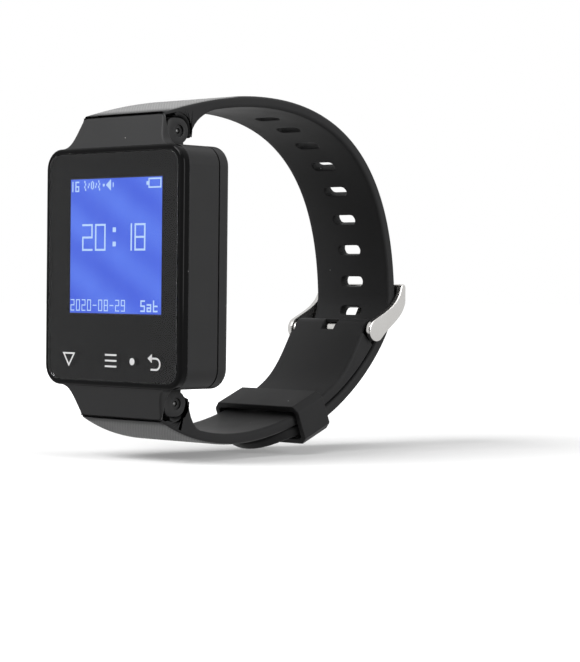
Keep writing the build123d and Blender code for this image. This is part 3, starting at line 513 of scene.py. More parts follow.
def offset_loop(loop, inset):
    """Move each point of a closed loop inwards along its normal by the inset."""
    ahead = np.roll(loop, -1, 0) - np.roll(loop, 1, 0)
    normal = np.c_[-ahead[:, 1], ahead[:, 0]] / np.linalg.norm(ahead, axis=1)[:, None]
    area = np.sum(loop[:, 0] * np.roll(loop[:, 1], -1) - np.roll(loop[:, 0], -1) * loop[:, 1])
    return loop + normal * inset * np.sign(area)


def across_loops(outline, stations):
    """Side outline (y, z) carried across X: each station is (x, inset)."""
    rows = []
    for x, inset in stations:
        moved = offset_loop(outline, inset)
        rows.append(np.c_[np.full(len(moved), x), moved])
    return np.array(rows)


def soft_ends(low, high, radius):
    """Stations (x, inset) from low to high with a quarter-round at each end."""
    angle = np.linspace(0, pi / 2, 4)
    rise = radius * (1 - np.sin(angle))
    step = radius * (1 - np.cos(angle))
    return [(low + s, r) for s, r in zip(step, rise)] + [
        (high - s, r) for s, r in zip(step[::-1], rise[::-1])
    ]


def circle(center, radius, count=32, start=0.0):
    """Points (u, v) on a circle."""
    angle = start + np.linspace(0, 2 * pi, count, endpoint=False)
    return np.c_[center[0] + radius * np.cos(angle), center[1] + radius * np.sin(angle)]


def piece(name, shells, body, material, replaces=(), sharp=32, values=None):
    """Join shells into one object in metres, smooth it, dress it and let it ride."""
    points, faces, start = [], [], 0
    for shell_points, shell_faces in shells:
        points.append(shell_points)
        faces += [[start + corner for corner in face] for face in shell_faces]
        start += len(shell_points)
    mesh = bpy.data.meshes.new(name)
    mesh.from_pydata((np.concatenate(points) * mm).tolist(), [], faces)
    for label, column in (values or {}).items():
        attribute = mesh.attributes.new(label, "FLOAT", "POINT")
        attribute.data.foreach_set("value", np.asarray(column, np.float32))
    made = bmesh.new()
    made.from_mesh(mesh)
    bmesh.ops.remove_doubles(made, verts=made.verts, dist=2e-7)
    bmesh.ops.dissolve_degenerate(made, edges=made.edges, dist=1e-8)
    bmesh.ops.recalc_face_normals(made, faces=made.faces)
    made.to_mesh(mesh)
    made.free()
    mesh.shade_smooth()
    mesh.set_sharp_from_angle(angle=radians(sharp))
    mesh.materials.append(material)
    obj = bpy.data.objects.new(name, mesh)
    scene.collection.objects.link(obj)
    weighted = obj.modifiers.new("even_faces", "WEIGHTED_NORMAL")
    weighted.keep_sharp = True
    if body:
        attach(obj, body)
    if replaces:
        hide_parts(*replaces)
    print(f"{name}: {len(mesh.vertices)} points, {len(mesh.polygons)} faces")
    return obj


def mirrored(shell, axis):
    """The same shell on the other side of the plane where that axis is 0."""
    points, faces = shell
    points = points.copy()
    points[:, axis] *= -1
    return points, faces


# %% [markdown]
# ## Cover glass, ink and marks
# The glass is one slab with a narrow ground edge that catches the light. Black
# ink on its back leaves a window for the display. Four plain key marks are
# printed in light grey: down, list, a round lamp window and back.

# %% Case sizes
case_half_w, case_half_h, case_r = 19.5, 23.1, 4.0
glass_half_w, glass_half_h, glass_r = 18.3, 21.9, 2.6
glass_front, glass_back = -12.8, -11.8
picture_x, picture_z = 0.3, 4.05
picture_w, picture_h = 26.0, 26.0
key_z = -18.0

# %% Glass
glass_material, tree, shader = blank(
    "smoked_glass", IOR=1.25, Transmission_Weight=1.0, Roughness=0.0
)
smear = use(tree, grain_group, {"Grain mm": 0.5, "Patch mm": 6.0})
tree.links.new(
    mix_color(tree, smear["Patches"], (0.46, 0.47, 0.48), (0.50, 0.505, 0.51)), shader.inputs["Base Color"]
)
glass_profile = [(0.0, glass_back), (0.0, -12.62), (0.05, -12.70), (0.13, -12.77), (0.22, glass_front)]
piece(
    "cover_glass", [loft(front_loops(glass_half_w, glass_half_h, glass_r, glass_profile))],
    "case", glass_material, replaces=["front_lens"],
)


# %% Ink mask
def window_loops(outer, inner, depths):
    """Ring between an outer and an inner loop of equal counts, at two depths."""
    rows = [(outer, depths[0]), (inner, depths[0]), (inner, depths[1]), (outer, depths[1])]
    return np.array([np.c_[loop[:, 0], np.full(len(loop), y), loop[:, 1]] for loop, y in rows])


mask_outer = rounded_rect(glass_half_w - 0.1, glass_half_h - 0.1, glass_r)
mask_inner = rounded_rect(picture_w / 2 + 0.25, picture_h / 2 + 0.25, 0.1) + (picture_x, picture_z)
piece(
    "glass_ink", [loft(window_loops(mask_outer, mask_inner, (-11.78, -11.72)), ring=True)],
    "case", ink_black,
)


# %% Strokes for marks
def plate(loop, y, thick=0.02):
    """Thin plate in the front view: the closed outline (x, z) at y and again at y - thick."""
    rows = [np.c_[loop[:, 0], np.full(len(loop), depth), loop[:, 1]] for depth in (y, y - thick)]
    return loft(np.array(rows))


def bar(u0, v0, u1, v1, y):
    """Thin rectangular plate between two corners."""
    return plate(np.array([(u0, v0), (u1, v0), (u1, v1), (u0, v1)], float), y)


def stroke(points, width, y, closed=False, thick=0.02):
    """Thin plate along a path of points: both sides lie half a width along the mitred normals."""
    path = np.asarray(points, float)
    before = path - np.roll(path, 1, 0)
    after = np.roll(path, -1, 0) - path
    if not closed:
        before[0], after[-1] = after[0], before[-1]
    before /= np.linalg.norm(before, axis=1)[:, None]
    after /= np.linalg.norm(after, axis=1)[:, None]
    both = before + after
    both /= np.linalg.norm(both, axis=1)[:, None]
    normal = np.c_[-both[:, 1], both[:, 0]]
    reach = width / 2 / np.sum(both * after, axis=1)[:, None]
    left, right = path + normal * reach, path - normal * reach
    loops = np.stack(
        [
            np.c_[side[:, 0], np.full(len(path), depth), side[:, 1]]
            for side, depth in ((left, y), (right, y), (right, y - thick), (left, y - thick))
        ],
        1,
    )
    return loft(loops, ring=closed)


# %% Key marks
print_y = glass_front
down_mark = [(-13.5, key_z + 1.15), (-10.4, key_z + 1.15), (-11.95, key_z - 1.15)]
marks = [stroke(down_mark, 0.32, print_y, closed=True)]
for row in (-1.1, 0.0, 1.1):
    marks.append(bar(-1.4, key_z + row - 0.17, 1.9, key_z + row + 0.17, print_y))
marks.append(plate(circle((6.3, key_z), 0.68), print_y))
turn_back = np.linspace(pi / 2, -pi / 2, 12)
hook = np.c_[12.95 + 1.05 * np.cos(turn_back), key_z - 0.3 + 1.05 * np.sin(turn_back)]
hook = np.concatenate([[(11.6, key_z + 0.75)], hook, [(11.5, key_z - 1.35)]])
marks.append(stroke(hook, 0.36, print_y))
arrow = np.array([(11.8, key_z + 1.6), (10.65, key_z + 0.75), (11.8, key_z - 0.1)])
marks.append(plate(arrow, print_y))
piece("key_marks", marks, "case", key_print)

# %% [markdown]
# ## The lit display
# The panel is 128 dots each way. The picture glows evenly blue; faint broad
# bands and the dark lines between dots keep it from looking painted. Numbers
# and signs are thin plates on a whole count of dots.

# %% Display materials
dot_count = 128
picture_material, tree, shader = blank(
    "display_picture", Roughness=0.6, Specular_IOR_Level=0.1, Emission_Strength=2.0
)
shader.inputs["Base Color"].default_value = (0.0, 0.0, 0.01, 1.0)
dots = node(tree, "SeparateXYZ", {0: node(tree, "TexCoord").outputs["Object"]})
dot_w, dot_h = picture_w / dot_count * mm, picture_h / dot_count * mm
stripe_x = math(tree, "SINE", math(tree, "MULTIPLY", dots.outputs[0], 2 * pi / dot_w))
stripe_z = math(tree, "SINE", math(tree, "MULTIPLY", dots.outputs[2], 2 * pi / dot_h))
mesh_mask = math(tree, "MAXIMUM", stripe_x, stripe_z)
mesh_mask = math(tree, "MULTIPLY", math(tree, "GREATER_THAN", mesh_mask, 0.86), 0.16)
slant_x = math(tree, "MULTIPLY", dots.outputs[0], 340.0)
slant_z = math(tree, "MULTIPLY", dots.outputs[2], 620.0)
slant = math(tree, "ADD", slant_x, slant_z)
bands = math(tree, "MULTIPLY", math(tree, "ADD", math(tree, "SINE", slant), 1.0), 0.5)
haze = use(tree, grain_group, {"Grain mm": 0.8, "Patch mm": 8.0})
tone = math(tree, "MULTIPLY", math(tree, "ADD", bands, haze["Patches"]), 0.5)
glow = mix_color(tree, tone, (0.055, 0.115, 0.74), (0.115, 0.225, 0.92))
glow = mix_color(tree, mesh_mask, glow, (0.02, 0.04, 0.35))
tree.links.new(glow, shader.inputs["Emission Color"])

sign_material, tree, shader = blank(
    "display_signs", Roughness=0.6, Specular_IOR_Level=0.1, Emission_Strength=2.0
)
shader.inputs["Base Color"].default_value = (0.0, 0.0, 0.0, 1.0)
haze = use(tree, grain_group, {"Grain mm": 0.3, "Patch mm": 3.0})
tree.links.new(
    mix_color(tree, haze["Grain"], (0.40, 0.60, 1.0), (0.62, 0.78, 1.0)), shader.inputs["Emission Color"]
)

# %% Picture plate and signs
picture_y, sign_y = -11.64, -11.66
picture_left, picture_right = picture_x - picture_w / 2, picture_x + picture_w / 2
picture_low, picture_top = picture_z - picture_h / 2, picture_z + picture_h / 2
piece(
    "display_picture", [bar(picture_left, picture_low, picture_right, picture_top, picture_y)],
    "case", picture_material,
)

SEGMENTS = {
    "0": "abcdef", "1": "bc", "2": "abged", "6": "acdefg", "8": "abcdefg", "9": "abcdfg",
    "-": "g", "S": "acdfg", "a": "abcdeg", "t": "defg",
}


def dot_bar(col0, row0, col1, row1):
    """Plate over a block of display dots, counted from the top left corner."""
    u0, u1 = (picture_left + col * picture_w / dot_count for col in (col0, col1))
    v0, v1 = (picture_top - row * picture_h / dot_count for row in (row0, row1))
    return bar(u0, v0, u1, v1, sign_y)


def figure(sign, col, row, wide, high, thick):
    """The bars of one figure: a to g are the segments of a plain counter digit."""
    half = high / 2
    places = {
        "a": (0, 0, wide, thick), "d": (0, high - thick, wide, high),
        "g": (0, half - thick / 2, wide, half + thick / 2),
        "f": (0, 0, thick, half), "e": (0, half, thick, high),
        "b": (wide - thick, 0, wide, half), "c": (wide - thick, half, wide, high),
    }
    return [
        dot_bar(col + places[s][0], row + places[s][1], col + places[s][2], row + places[s][3])
        for s in SEGMENTS[sign]
    ]


signs = []
for sign, col in (("2", 17), ("0", 35.5), ("1", 74), ("8", 91)):
    signs += figure(sign, col, 43, 15 if sign != "1" else 13.5, 25.6, 1.9)
signs += [dot_bar(60.5, 46.5, 65, 51), dot_bar(60.5, 60, 65, 64.5)]
for count, sign in enumerate("2020-08-29"):
    signs += figure(sign, 1 + 8 * count, 115, 5.5, 11, 0.95)
for count, sign in enumerate("Sat"):
    low = sign == "a"
    signs += figure(sign, 100 + 8.6 * count, 115 + (3.5 if low else 0), 6.2, 7.5 if low else 11, 1.5)
signs += figure("1", 0.5, 2, 3, 10, 1.4) + figure("6", 6.5, 2, 5.5, 10, 1.4)
signs += [dot_bar(109.5, 1, 127, 2.4), dot_bar(109.5, 9, 127, 10.4), dot_bar(125.6, 1, 127, 10.4)]
signs += [dot_bar(109.5, 1, 110.9, 10.4), dot_bar(106.8, 4, 109.5, 7.5)]
for col in (19.5, 24.5, 35.0, 39.5):
    for row, shift in ((1.5, 0.0), (4.0, 1.2), (6.5, 0.0), (9.0, 1.2)):
        if col in (19.5, 39.5) or row in (4.0, 6.5):
            signs.append(dot_bar(col + shift, row, col + shift + 1.4, row + 2.2))
signs += [dot_bar(29, 3, 30.3, 9), dot_bar(32, 3, 33.3, 9)]
signs += [dot_bar(30.3, 2, 32, 3.2), dot_bar(30.3, 8.8, 32, 10)]
signs.append(dot_bar(46, 5, 48.5, 7.5))
for step in range(5):
    signs.append(dot_bar(51 + step * 1.3, 5.2 - step, 52.3 + step * 1.3, 7.2 + step))
signs += [dot_bar(60, 4, 61.2, 8.4)]
piece("display_signs", signs, "case", sign_material)

# %% [markdown]
# ## Case shells
# Three shells make the case, parted by fine lines. Each wall is a ring: one
# closed profile of (inset, depth) carried round the rounded rectangle, with
# its edges broken by small radii so that they catch light.


# %% Gloss rim
rim_profile = (
    [(0.10, -10.80), (0.03, -10.83), (0.0, -10.90), (0.0, -12.0)]
    + [(0.6 - 0.6 * cos(a), -12.0 - 0.6 * sin(a)) for a in np.linspace(0.15, pi / 2, 7)]
    + [(0.95, -12.60), (1.05, -12.57), (1.1, -12.50), (1.1, -11.5), (2.9, -11.5), (2.9, -10.8)]
)
rim = loft(front_loops(case_half_w, case_half_h, case_r, rim_profile), ring=True)
piece("gloss_rim", [rim], "case", gloss_black, replaces=["front_bezel"])


# %% Aprons over the strap roots
def bezier(corners, t):
    """Cubic curve: the four points weighted by (1-t)^3, 3t(1-t)^2, 3t^2(1-t) and t^3."""
    corners, t = np.asarray(corners, float), np.asarray(t, float)[:, None]
    weights = ((1 - t) ** 3, 3 * t * (1 - t) ** 2, 3 * t**2 * (1 - t), t**3)
    return sum(weight * corner for weight, corner in zip(weights, corners))


apron_root_w, apron_waist_w, apron_end_w = 15.4, 12.6, 11.4
apron_end_z, apron_waist_z = 29.1, 25.8
apron_front, apron_lean, apron_drop, apron_back = -12.1, 2.2, 6.0, -9.5
apron_sweep = bezier(
    [
        (apron_root_w, case_half_h), (apron_waist_w, case_half_h),
        (apron_waist_w, apron_waist_z), (apron_end_w, apron_end_z),
    ],
    np.linspace(0, 1, 16),
)


def apron_loops(end_round=0.35):
    """Level sections of the lower apron: its front leans back as it drops, its sides sweep in."""
    rows = [(apron_root_w, case_half_h - 0.2, 0.0)] + [(w, z, 0.0) for w, z in apron_sweep[:-1]]
    for angle in np.linspace(0.2, pi / 2, 4):
        end_z = apron_end_z - end_round * (1 - sin(angle))
        rows.append((apron_end_w, end_z, end_round * (1 - cos(angle))))
    loops = []
    for half_w, z, inset in rows:
        front = apron_front + apron_lean * max(0.0, z - case_half_h) / apron_drop + inset
        back = apron_back - inset
        loop = rounded_rect(half_w - inset, (back - front) / 2, 0.45, steps=6)
        loops.append(np.c_[loop[:, 0], loop[:, 1] + (front + back) / 2, np.full(len(loop), -z)])
    return np.array(loops)


lower_apron = loft(apron_loops())
piece("strap_aprons", [lower_apron, mirrored(lower_apron, 2)], "case", satin_black)

# %% Middle shell with its four ears
wall_profile = [
    (0.10, -10.78), (0.03, -10.75), (0.0, -10.66), (0.0, -3.24), (0.03, -3.15), (0.10, -3.12),
    (1.5, -3.12), (1.5, -10.78),
]
shell_parts = [loft(front_loops(case_half_w, case_half_h, case_r, wall_profile), ring=True)]

pin_y, pin_z, ear_r, ear_front, neck_reach = -5.9, 26.0, 2.5, 3.1, 3.0
around = np.linspace(0, 2 * pi, 64, endpoint=False)


def ear_outline(inset):
    """Side outline about the pin: a neck up to the case, a flat front and a round rear."""
    ahead, rise = np.cos(around), np.sin(around)
    up = np.maximum(rise, 1e-6)
    in_neck = (rise > 0) & (neck_reach * ahead / up > -ear_front) & (neck_reach * ahead / up < 1.6)
    corner = ((np.abs(ahead) / ear_front) ** 4 + (np.abs(rise) / ear_r) ** 4) ** -0.25
    front = np.where(rise < 0, corner, ear_front / np.maximum(-ahead, 1e-6))
    reach = np.where(in_neck, neck_reach / up, np.where(ahead < 0, front, ear_r)) - inset
    y = np.maximum(reach * ahead, inset - ear_front)
    return np.c_[y + pin_y, reach * rise - pin_z]


def ear_ring(x, radius=None, inset=0.0):
    """One loop of the ear at x: a circle about the pin, or the outline."""
    loop = ear_outline(inset) if radius is None else circle((pin_y, -pin_z), radius, 64)
    return np.c_[np.full(64, x), loop]


ear_in_x, ear_out_x, ear_bore_r = 9.2, 11.4, 0.55
window_floor_x, window_r = 11.0, 1.15
ear_loops = np.array(
    [
        ear_ring(ear_in_x, ear_bore_r), ear_ring(ear_in_x, None, 0.2),
        ear_ring(ear_in_x + 0.06, None, 0.06), ear_ring(ear_in_x + 0.2),
        ear_ring(ear_out_x - 0.25), ear_ring(ear_out_x - 0.08, None, 0.07),
        ear_ring(ear_out_x, None, 0.25), ear_ring(ear_out_x, window_r + 0.1),
        ear_ring(ear_out_x - 0.04, window_r + 0.02), ear_ring(window_floor_x, window_r),
        ear_ring(window_floor_x, ear_bore_r),
    ]
)
ear = loft(ear_loops, ring=True)
for one in (ear, mirrored(ear, 0)):
    shell_parts += [one, mirrored(one, 2)]

post_x, post_z, post_half = 15.8, 19.4, 2.2
screw_x, screw_z, screw_bore_r = 15.2, 18.8, 0.75
post_front, post_rear = -7.55, -3.15
for sx in (-1, 1):
    for sz in (-1, 1):
        square = rounded_rect(post_half, post_half, 0.3) + (sx * post_x, sz * post_z)
        hole = circle((sx * screw_x, sz * screw_z), screw_bore_r, 32, start=0.2)
        shell_parts.append(loft(window_loops(square, hole, (post_rear, post_front)), ring=True))
piece("middle_shell", shell_parts, "case", satin_black, replaces=["mid_case"])

# %% [markdown]
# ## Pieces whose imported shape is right
# The back cover, contacts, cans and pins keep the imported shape. A copy with
# its loose triangles joined can be shaded smoothly, so round edges look round.


# %% Smoothed copies
def smoothed(name, material, angle=32):
    """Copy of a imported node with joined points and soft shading; it stands for the node."""
    source = frame["nodes"][name]
    mesh = source.data.copy()
    mesh.name = name + "_skin"
    made = bmesh.new()
    made.from_mesh(mesh)
    bmesh.ops.remove_doubles(made, verts=made.verts, dist=1e-6)
    made.to_mesh(mesh)
    made.free()
    mesh.materials.clear()
    mesh.materials.append(material)
    mesh.shade_smooth()
    mesh.set_sharp_from_angle(angle=radians(angle))
    obj = bpy.data.objects.new(name + "_skin", mesh)
    scene.collection.objects.link(obj)
    weighted = obj.modifiers.new("even_faces", "WEIGHTED_NORMAL")
    weighted.keep_sharp = True
    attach(obj, source["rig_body"])
    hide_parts(name)
    return obj


smoothed("back_cover", satin_black)
smoothed("charge_contacts", contact_gold)
smoothed("contact_pins", contact_gold)
smoothed("charge_magnets", magnet_nickel)
smoothed("motor_can", can_steel)
# The tips take the near-black steel, which is painted shade over the pin ends
for bar_name in ("upper", "lower", "buckle"):
    for part in ("tube", "tip_left", "tip_right"):
        smoothed(f"{bar_name}_bar_{part}", bar_steel if part == "tube" else painted_shade_tip_steel)

# %% [markdown]
# ## The band
# In side view the band is three curves: the lower strap, the bend over the
# buckle and the long sweep back to the upper lug. The straps are sheets on
# those curves. The grid of a sheet is bent round each slot, the cells inside
# the slots are left out, and both faces are joined along every free edge.

# %% Band curves
strap_thick, gap = 2.2, 0.3
strap_half, root_half, strap_end_half = 10.4, 11.4, 9.8
side_round, slot_round, tip_round = 0.7, 0.25, 0.6
knuckle_r, bar_bore_r = 2.3, 0.85
hole_pitch, tail_reach = 7.0, 37.09
keeper_reach, keeper_length = 27.1, 8.0
check_zone = 21.0


def heading(degrees):
    """Unit vector at an angle from +Y towards +Z."""
    return np.array([cos(radians(degrees)), sin(radians(degrees))])


def evenly(points, count=2001):
    """The same line with points at equal distances."""
    length = np.r_[0, np.cumsum(np.linalg.norm(np.diff(points, axis=0), axis=1))]
    at = np.linspace(0, length[-1], count)
    return np.c_[np.interp(at, length, points[:, 0]), np.interp(at, length, points[:, 1])]


def left_normal(points):
    """Unit normals on the left of the direction of travel: they point into the band."""
    ahead = np.gradient(points, axis=0)
    ahead /= np.linalg.norm(ahead, axis=1)[:, None]
    return np.c_[-ahead[:, 1], ahead[:, 0]]


def curve(start, start_pull, end, end_pull):
    """Evenly spaced cubic curve; each pull is (heading in degrees, handle length)."""
    leave, arrive = heading(start_pull[0]) * start_pull[1], heading(end_pull[0]) * end_pull[1]
    return evenly(bezier([start, start + leave, end - arrive, end], np.linspace(0, 1, 4001)))


buckle_heading, back_heading = 55, 92.6
buckle_center = np.array([51.6, -12.35])
buckle_out = np.array([sin(radians(buckle_heading)), -cos(radians(buckle_heading))])
seam_y, seam_z = -9.9, 29.5
lower_seam, upper_seam = np.array([seam_y, -seam_z]), np.array([seam_y, seam_z])
lower_end = buckle_center + buckle_out * knuckle_r
bend_start = lower_end + buckle_out * (gap + strap_thick)
back_point = np.array([59.1, -4.8])
lower_line = curve(lower_seam, (-30, 21.4), lower_end, (buckle_heading, 24.1))
bend_line = curve(bend_start, (buckle_heading, 3.6), back_point, (back_heading, 3.6))
back_line = curve(back_point, (back_heading, 46.6), upper_seam, (197, 25.6))


def line_length(points):
    """Length of a line through points."""
    return float(np.linalg.norm(np.diff(points, axis=0), axis=1).sum())


lower_length, bend_length, back_length = (line_length(p) for p in (lower_line, bend_line, back_line))
print("curves:", round(lower_length, 1), round(bend_length, 1), round(back_length, 1))


# %% Strap root outline
def root_inner(start, direction, side):
    """Inner side of a strap root, from the strap's inner face to the seam with the apron.

    It rises to the lip behind the ear, follows the ear's round end and drops
    to the seam. Side is 1 at the upper lug and -1 at the lower one.
    """
    pin = np.array([pin_y, side * pin_z])
    joint_r, lip, lip_thick = 2.8, radians(25), 1.0
    lip_inner = pin + joint_r * np.array([cos(lip), -side * sin(lip)])
    lip_outer = lip_inner + (lip_thick, 0)
    handle = np.linalg.norm(lip_outer - start) / 3
    rise = bezier(
        [start, start + direction * handle, lip_outer + np.array([0, side]) * handle, lip_outer],
        np.linspace(0, 1, 60),
    )
    front_y = -7.4
    last = pi - np.arcsin((joint_r**2 - (front_y - pin_y) ** 2) ** 0.5 / joint_r)
    angle = np.linspace(-lip, last, 60)
    arc = pin + joint_r * np.c_[np.cos(angle), side * np.sin(angle)]
    return np.concatenate([rise, arc, [(front_y, side * seam_z)]])


# %% Strap sheet
def round_over(distance, radius):
    """Drop of a rounded edge: radius - sqrt(radius^2 - (radius - distance)^2)."""
    inside = np.clip(radius - distance, 0, radius)
    return radius - np.sqrt(radius**2 - inside**2)


def half_width(y):
    """Half the strap's width: wide at the lug, easing to the narrower band."""
    ease = np.clip((y + 2) / 24, 0, 1)
    return root_half + (strap_half - root_half) * ease**2 * (3 - 2 * ease)


hole_w, hole_h = 3.0, 1.1
near_hole = np.array([0.0, 0.07, 0.15, 0.27, 0.5, 0.85])


def slot_shift(dx, ds):
    """Move grid points beside a slot so that the block's border becomes the slot's outline.

    A point on the border of the block goes to the nearest point of the
    rounded slot; the shift fades out at 1.8 block sizes.
    """
    m = np.maximum(np.abs(dx) / hole_w, np.abs(ds) / hole_h)
    m = np.maximum(m, 1e-6)
    qx, qs = dx / m, ds / m
    cx = np.clip(qx, -(hole_w - hole_h), hole_w - hole_h)
    reach = np.hypot(qx - cx, qs)
    fade = np.clip((1.8 - m) / 0.8, 0, 1)
    return (cx + (qx - cx) * hole_h / reach - qx) * fade, (qs * hole_h / reach - qs) * fade


def row_places(length, holes, tip, cut, narrow):
    """Distances along the strap of the sheet's rows: every 0.8 mm, and closer at slots, tip and steps."""
    rows = [np.arange(0, length, 0.8), [length]]
    if tip:
        rows.append(tip * (1 - np.cos(np.linspace(0.06, pi / 2, 14))))
    if cut:
        rows.append([cut[1]])
    if narrow:
        rows.append(narrow + np.array([-0.3, 0.0, 0.3]))
    s_rows = np.unique(np.concatenate(rows))
    if tip:
        s_rows = s_rows[s_rows >= tip * (1 - cos(0.06)) - 1e-9]
    for s_hole in holes:
        s_rows = s_rows[np.abs(s_rows - s_hole) > hole_h + 1.0]
    for s_hole in holes:
        steps = np.concatenate([hole_h + near_hole, hole_h * np.array([0.0, 0.35, 0.7])])
        s_rows = np.r_[s_rows, s_hole + steps, s_hole - steps[steps > 0]]
    return np.unique(np.round(s_rows, 5))


def column_places():
    """Places across the strap of the sheet's columns, as shares of its half width."""
    edge = strap_half - side_round * (1 - np.cos(np.linspace(0, pi / 2, 6)))
    columns = np.concatenate(
        [[0, 0.8, 1.6, 1.9, 2.3, 2.7], hole_w + near_hole, [4.6, 5.6, 6.8, 8.0, 8.9], edge]
    ) / strap_half
    return np.unique(np.round(np.r_[-columns, columns], 6))


def kept_quads(s, x, inside, holes, cut):
    """Quads of one side of the sheet without those in a slot or in the window at its end."""
    quads = grid_quads(*s.shape)
    lost = inside.reshape(-1)[quads].any(1)
    middle_s = s.reshape(-1)[quads].mean(1)
    middle_x = x.reshape(-1)[quads].mean(1)
    open_cell = np.zeros(len(quads), bool)
    for s_hole in holes:
        open_cell |= (np.abs(middle_s - s_hole) < hole_h) & (np.abs(middle_x) < hole_w) & lost
    if cut:
        open_cell |= (middle_s > cut[1]) & (np.abs(middle_x) < cut[0])
    return quads[~open_cell]


def both_sides(quads, count):
    """Faces of the outer and the inner side, joined along every free edge, and the points they use.

    An edge is free where only one quad has it. The inner side's points follow
    the outer side's, so each is found by adding the count.
    """
    edges = np.concatenate([quads[:, [k, (k + 1) % 4]] for k in range(4)])
    _, back, counts = np.unique(np.sort(edges, 1), axis=0, return_inverse=True, return_counts=True)
    free = edges[counts[back.ravel()] == 1]
    rim_quads = np.stack([free[:, 1], free[:, 0], free[:, 0] + count, free[:, 1] + count], 1)
    faces = np.concatenate([quads, quads[:, ::-1] + count, rim_quads])
    used = np.unique(np.concatenate([quads.ravel(), quads.ravel() + count]))
    remap = np.full(2 * count, -1)
    remap[used] = np.arange(len(used))
    return remap[faces].tolist(), used


def sheet(outer, inner, holes=(), tip=0.0, cut=None, zone=(0.0, 0.0), narrow=None):
    """Strap between two side-view lines of equal counts, with slots and rounded edges.

    Rows run along the strap and columns across it. Each point is pushed in
    near the sides, the slots and the rounded tip by the round-over formula.
    """
    length = line_length(outer)
    s_base = np.linspace(0, length, len(outer))
    normal_out, normal_in = left_normal(outer), left_normal(inner)
    s_rows = row_places(length, holes, tip, cut, narrow)
    s, c = np.meshgrid(s_rows, column_places(), indexing="ij")
    plan = np.ones(len(s_rows))
    if tip:
        plan = np.sqrt(np.clip(1 - np.clip((tip - s_rows) / tip, 0, 1) ** 2, 0, 1))
    if narrow:
        plan = np.where(s_rows > narrow, strap_end_half / strap_half, plan)
    x = c * strap_half * plan[:, None]
    from_hole = np.full(s.shape, 9.0)
    inside = np.zeros(s.shape, bool)
    for s_hole in holes:
        ds = s - s_hole
        close = np.abs(ds) < 1.8 * hole_h + 0.01
        inside |= (np.abs(ds) < hole_h - 1e-4) & (np.abs(x) < hole_w - 1e-4)
        shift_x, shift_s = slot_shift(x, ds)
        x = np.where(close, x + shift_x, x)
        s = np.where(close, s + shift_s, s)
        d = np.hypot(np.maximum(np.abs(x) - (hole_w - hole_h), 0), s - s_hole) - hole_h
        from_hole = np.where(close, np.maximum(d, 0), from_hole)

    def on(line, at):
        """Value of a line's columns at distances along the strap."""
        return np.stack([np.interp(at, s_base, line[:, k]) for k in range(line.shape[1])], -1)

    side_edge = strap_half * plan[:, None] * (1 - np.abs(c))
    drop = np.maximum(round_over(side_edge, side_round), round_over(from_hole, slot_round))
    if tip:
        q = np.sqrt((c * plan[:, None]) ** 2 + (np.clip(tip - s, 0, tip) / tip) ** 2)
        drop = np.where(s < tip, np.maximum(drop, round_over((1 - q) * tip, tip_round)), drop)
    points = []
    for line, normal, way in ((outer, normal_out, 1.0), (inner, normal_in, -1.0)):
        place, out = on(line, s), on(normal, s)
        stretch = half_width(place[..., 0]) / strap_half
        moved = place + (way * drop)[..., None] * out
        points.append(np.concatenate([(x * stretch)[..., None], moved], -1).reshape(-1, 3))
    faces, used = both_sides(kept_quads(s, x, inside, holes, cut), s.size)
    all_points = np.concatenate(points)[used]
    along = np.tile(s.reshape(-1), 2)[used] * mm
    low, high = zone
    near = np.zeros(s.shape)
    if high > low:
        near = np.clip((s - low) / 1.5, 0, 1) * np.clip((high - s) / 3.0, 0, 1) * (drop < 0.2)
    zone_value = np.r_[near.reshape(-1), 0 * near.reshape(-1)][used]
    return (all_points, faces), {"along": along, "across": all_points[:, 0] * mm, "zone": zone_value}


def joined(shells_with_values):
    """Shells and their values put end to end, ready for one piece."""
    shells = [shell for shell, _ in shells_with_values]
    values = {
        label: np.concatenate([v[label] if v else np.zeros(len(s[0])) for s, v in shells_with_values])
        for label in ("along", "across", "zone")
    }
    return shells, values


# %% [markdown]
# Between the ears the strap narrows to a knuckle round the spring bar. Its side
# outline is a circle joined to a short web, and the bar runs through its bore.


# %% Knuckle
def knuckle(side):
    """Ring across the lug: the outer outline and the bore share their angles about the pin."""
    end_r, web_reach, half = 1.8, 3.5, 8.9
    sideways = end_r / np.maximum(np.abs(np.cos(around)), 1e-6)
    upwards = web_reach / np.maximum(np.sin(around), 1e-6)
    reach = np.where(np.sin(around) > 0, np.minimum(sideways, upwards), end_r)

    def ring(x, inset=0.0, radius=None):
        """One loop at x: the outline moved in by the inset, or a circle of the radius."""
        r = np.full(64, radius) if radius else reach - inset
        return np.c_[np.full(64, x), pin_y + r * np.cos(around), side * (pin_z + r * np.sin(around))]

    loops = [ring(-half, radius=bar_bore_r), ring(-half, 0.25), ring(0.07 - half, 0.07), ring(0.25 - half)]
    loops += [ring(half - 0.25), ring(half - 0.07, 0.07), ring(half, 0.25), ring(half, radius=bar_bore_r)]
    return loft(np.array(loops), ring=True)


# %% Long strap
tail_droop, root_blend = 2.0, 14.78
tail_start = 1 - tail_reach / lower_length
droop_start = 1 - (keeper_reach + keeper_length / 2) / lower_length
tail_count = int(2000 * (1 - tail_start))
u = np.linspace(tail_start, 1, tail_count)
lower_share = np.linspace(0, 1, len(lower_line))
tail_base = np.stack([np.interp(u, lower_share, lower_line[:, k]) for k in (0, 1)], -1)
lift = gap + tail_droop * np.clip((droop_start - u) / (droop_start - tail_start), 0, 1) ** 2
tail_in = tail_base - left_normal(tail_base) * lift[:, None]
tail_out = tail_in - left_normal(tail_in) * strap_thick
outer_free = np.concatenate([tail_out, bend_line[1:], back_line[1:]])
marks_at = np.r_[0, np.cumsum(np.linalg.norm(np.diff(outer_free, axis=0), axis=1))]
bar_s = marks_at[len(tail_out) - 1]
blend_s = marks_at[-1] - root_blend
outer_long = evenly(outer_free, 4001)
total = line_length(outer_long)
s_all = np.linspace(0, total, 4001)
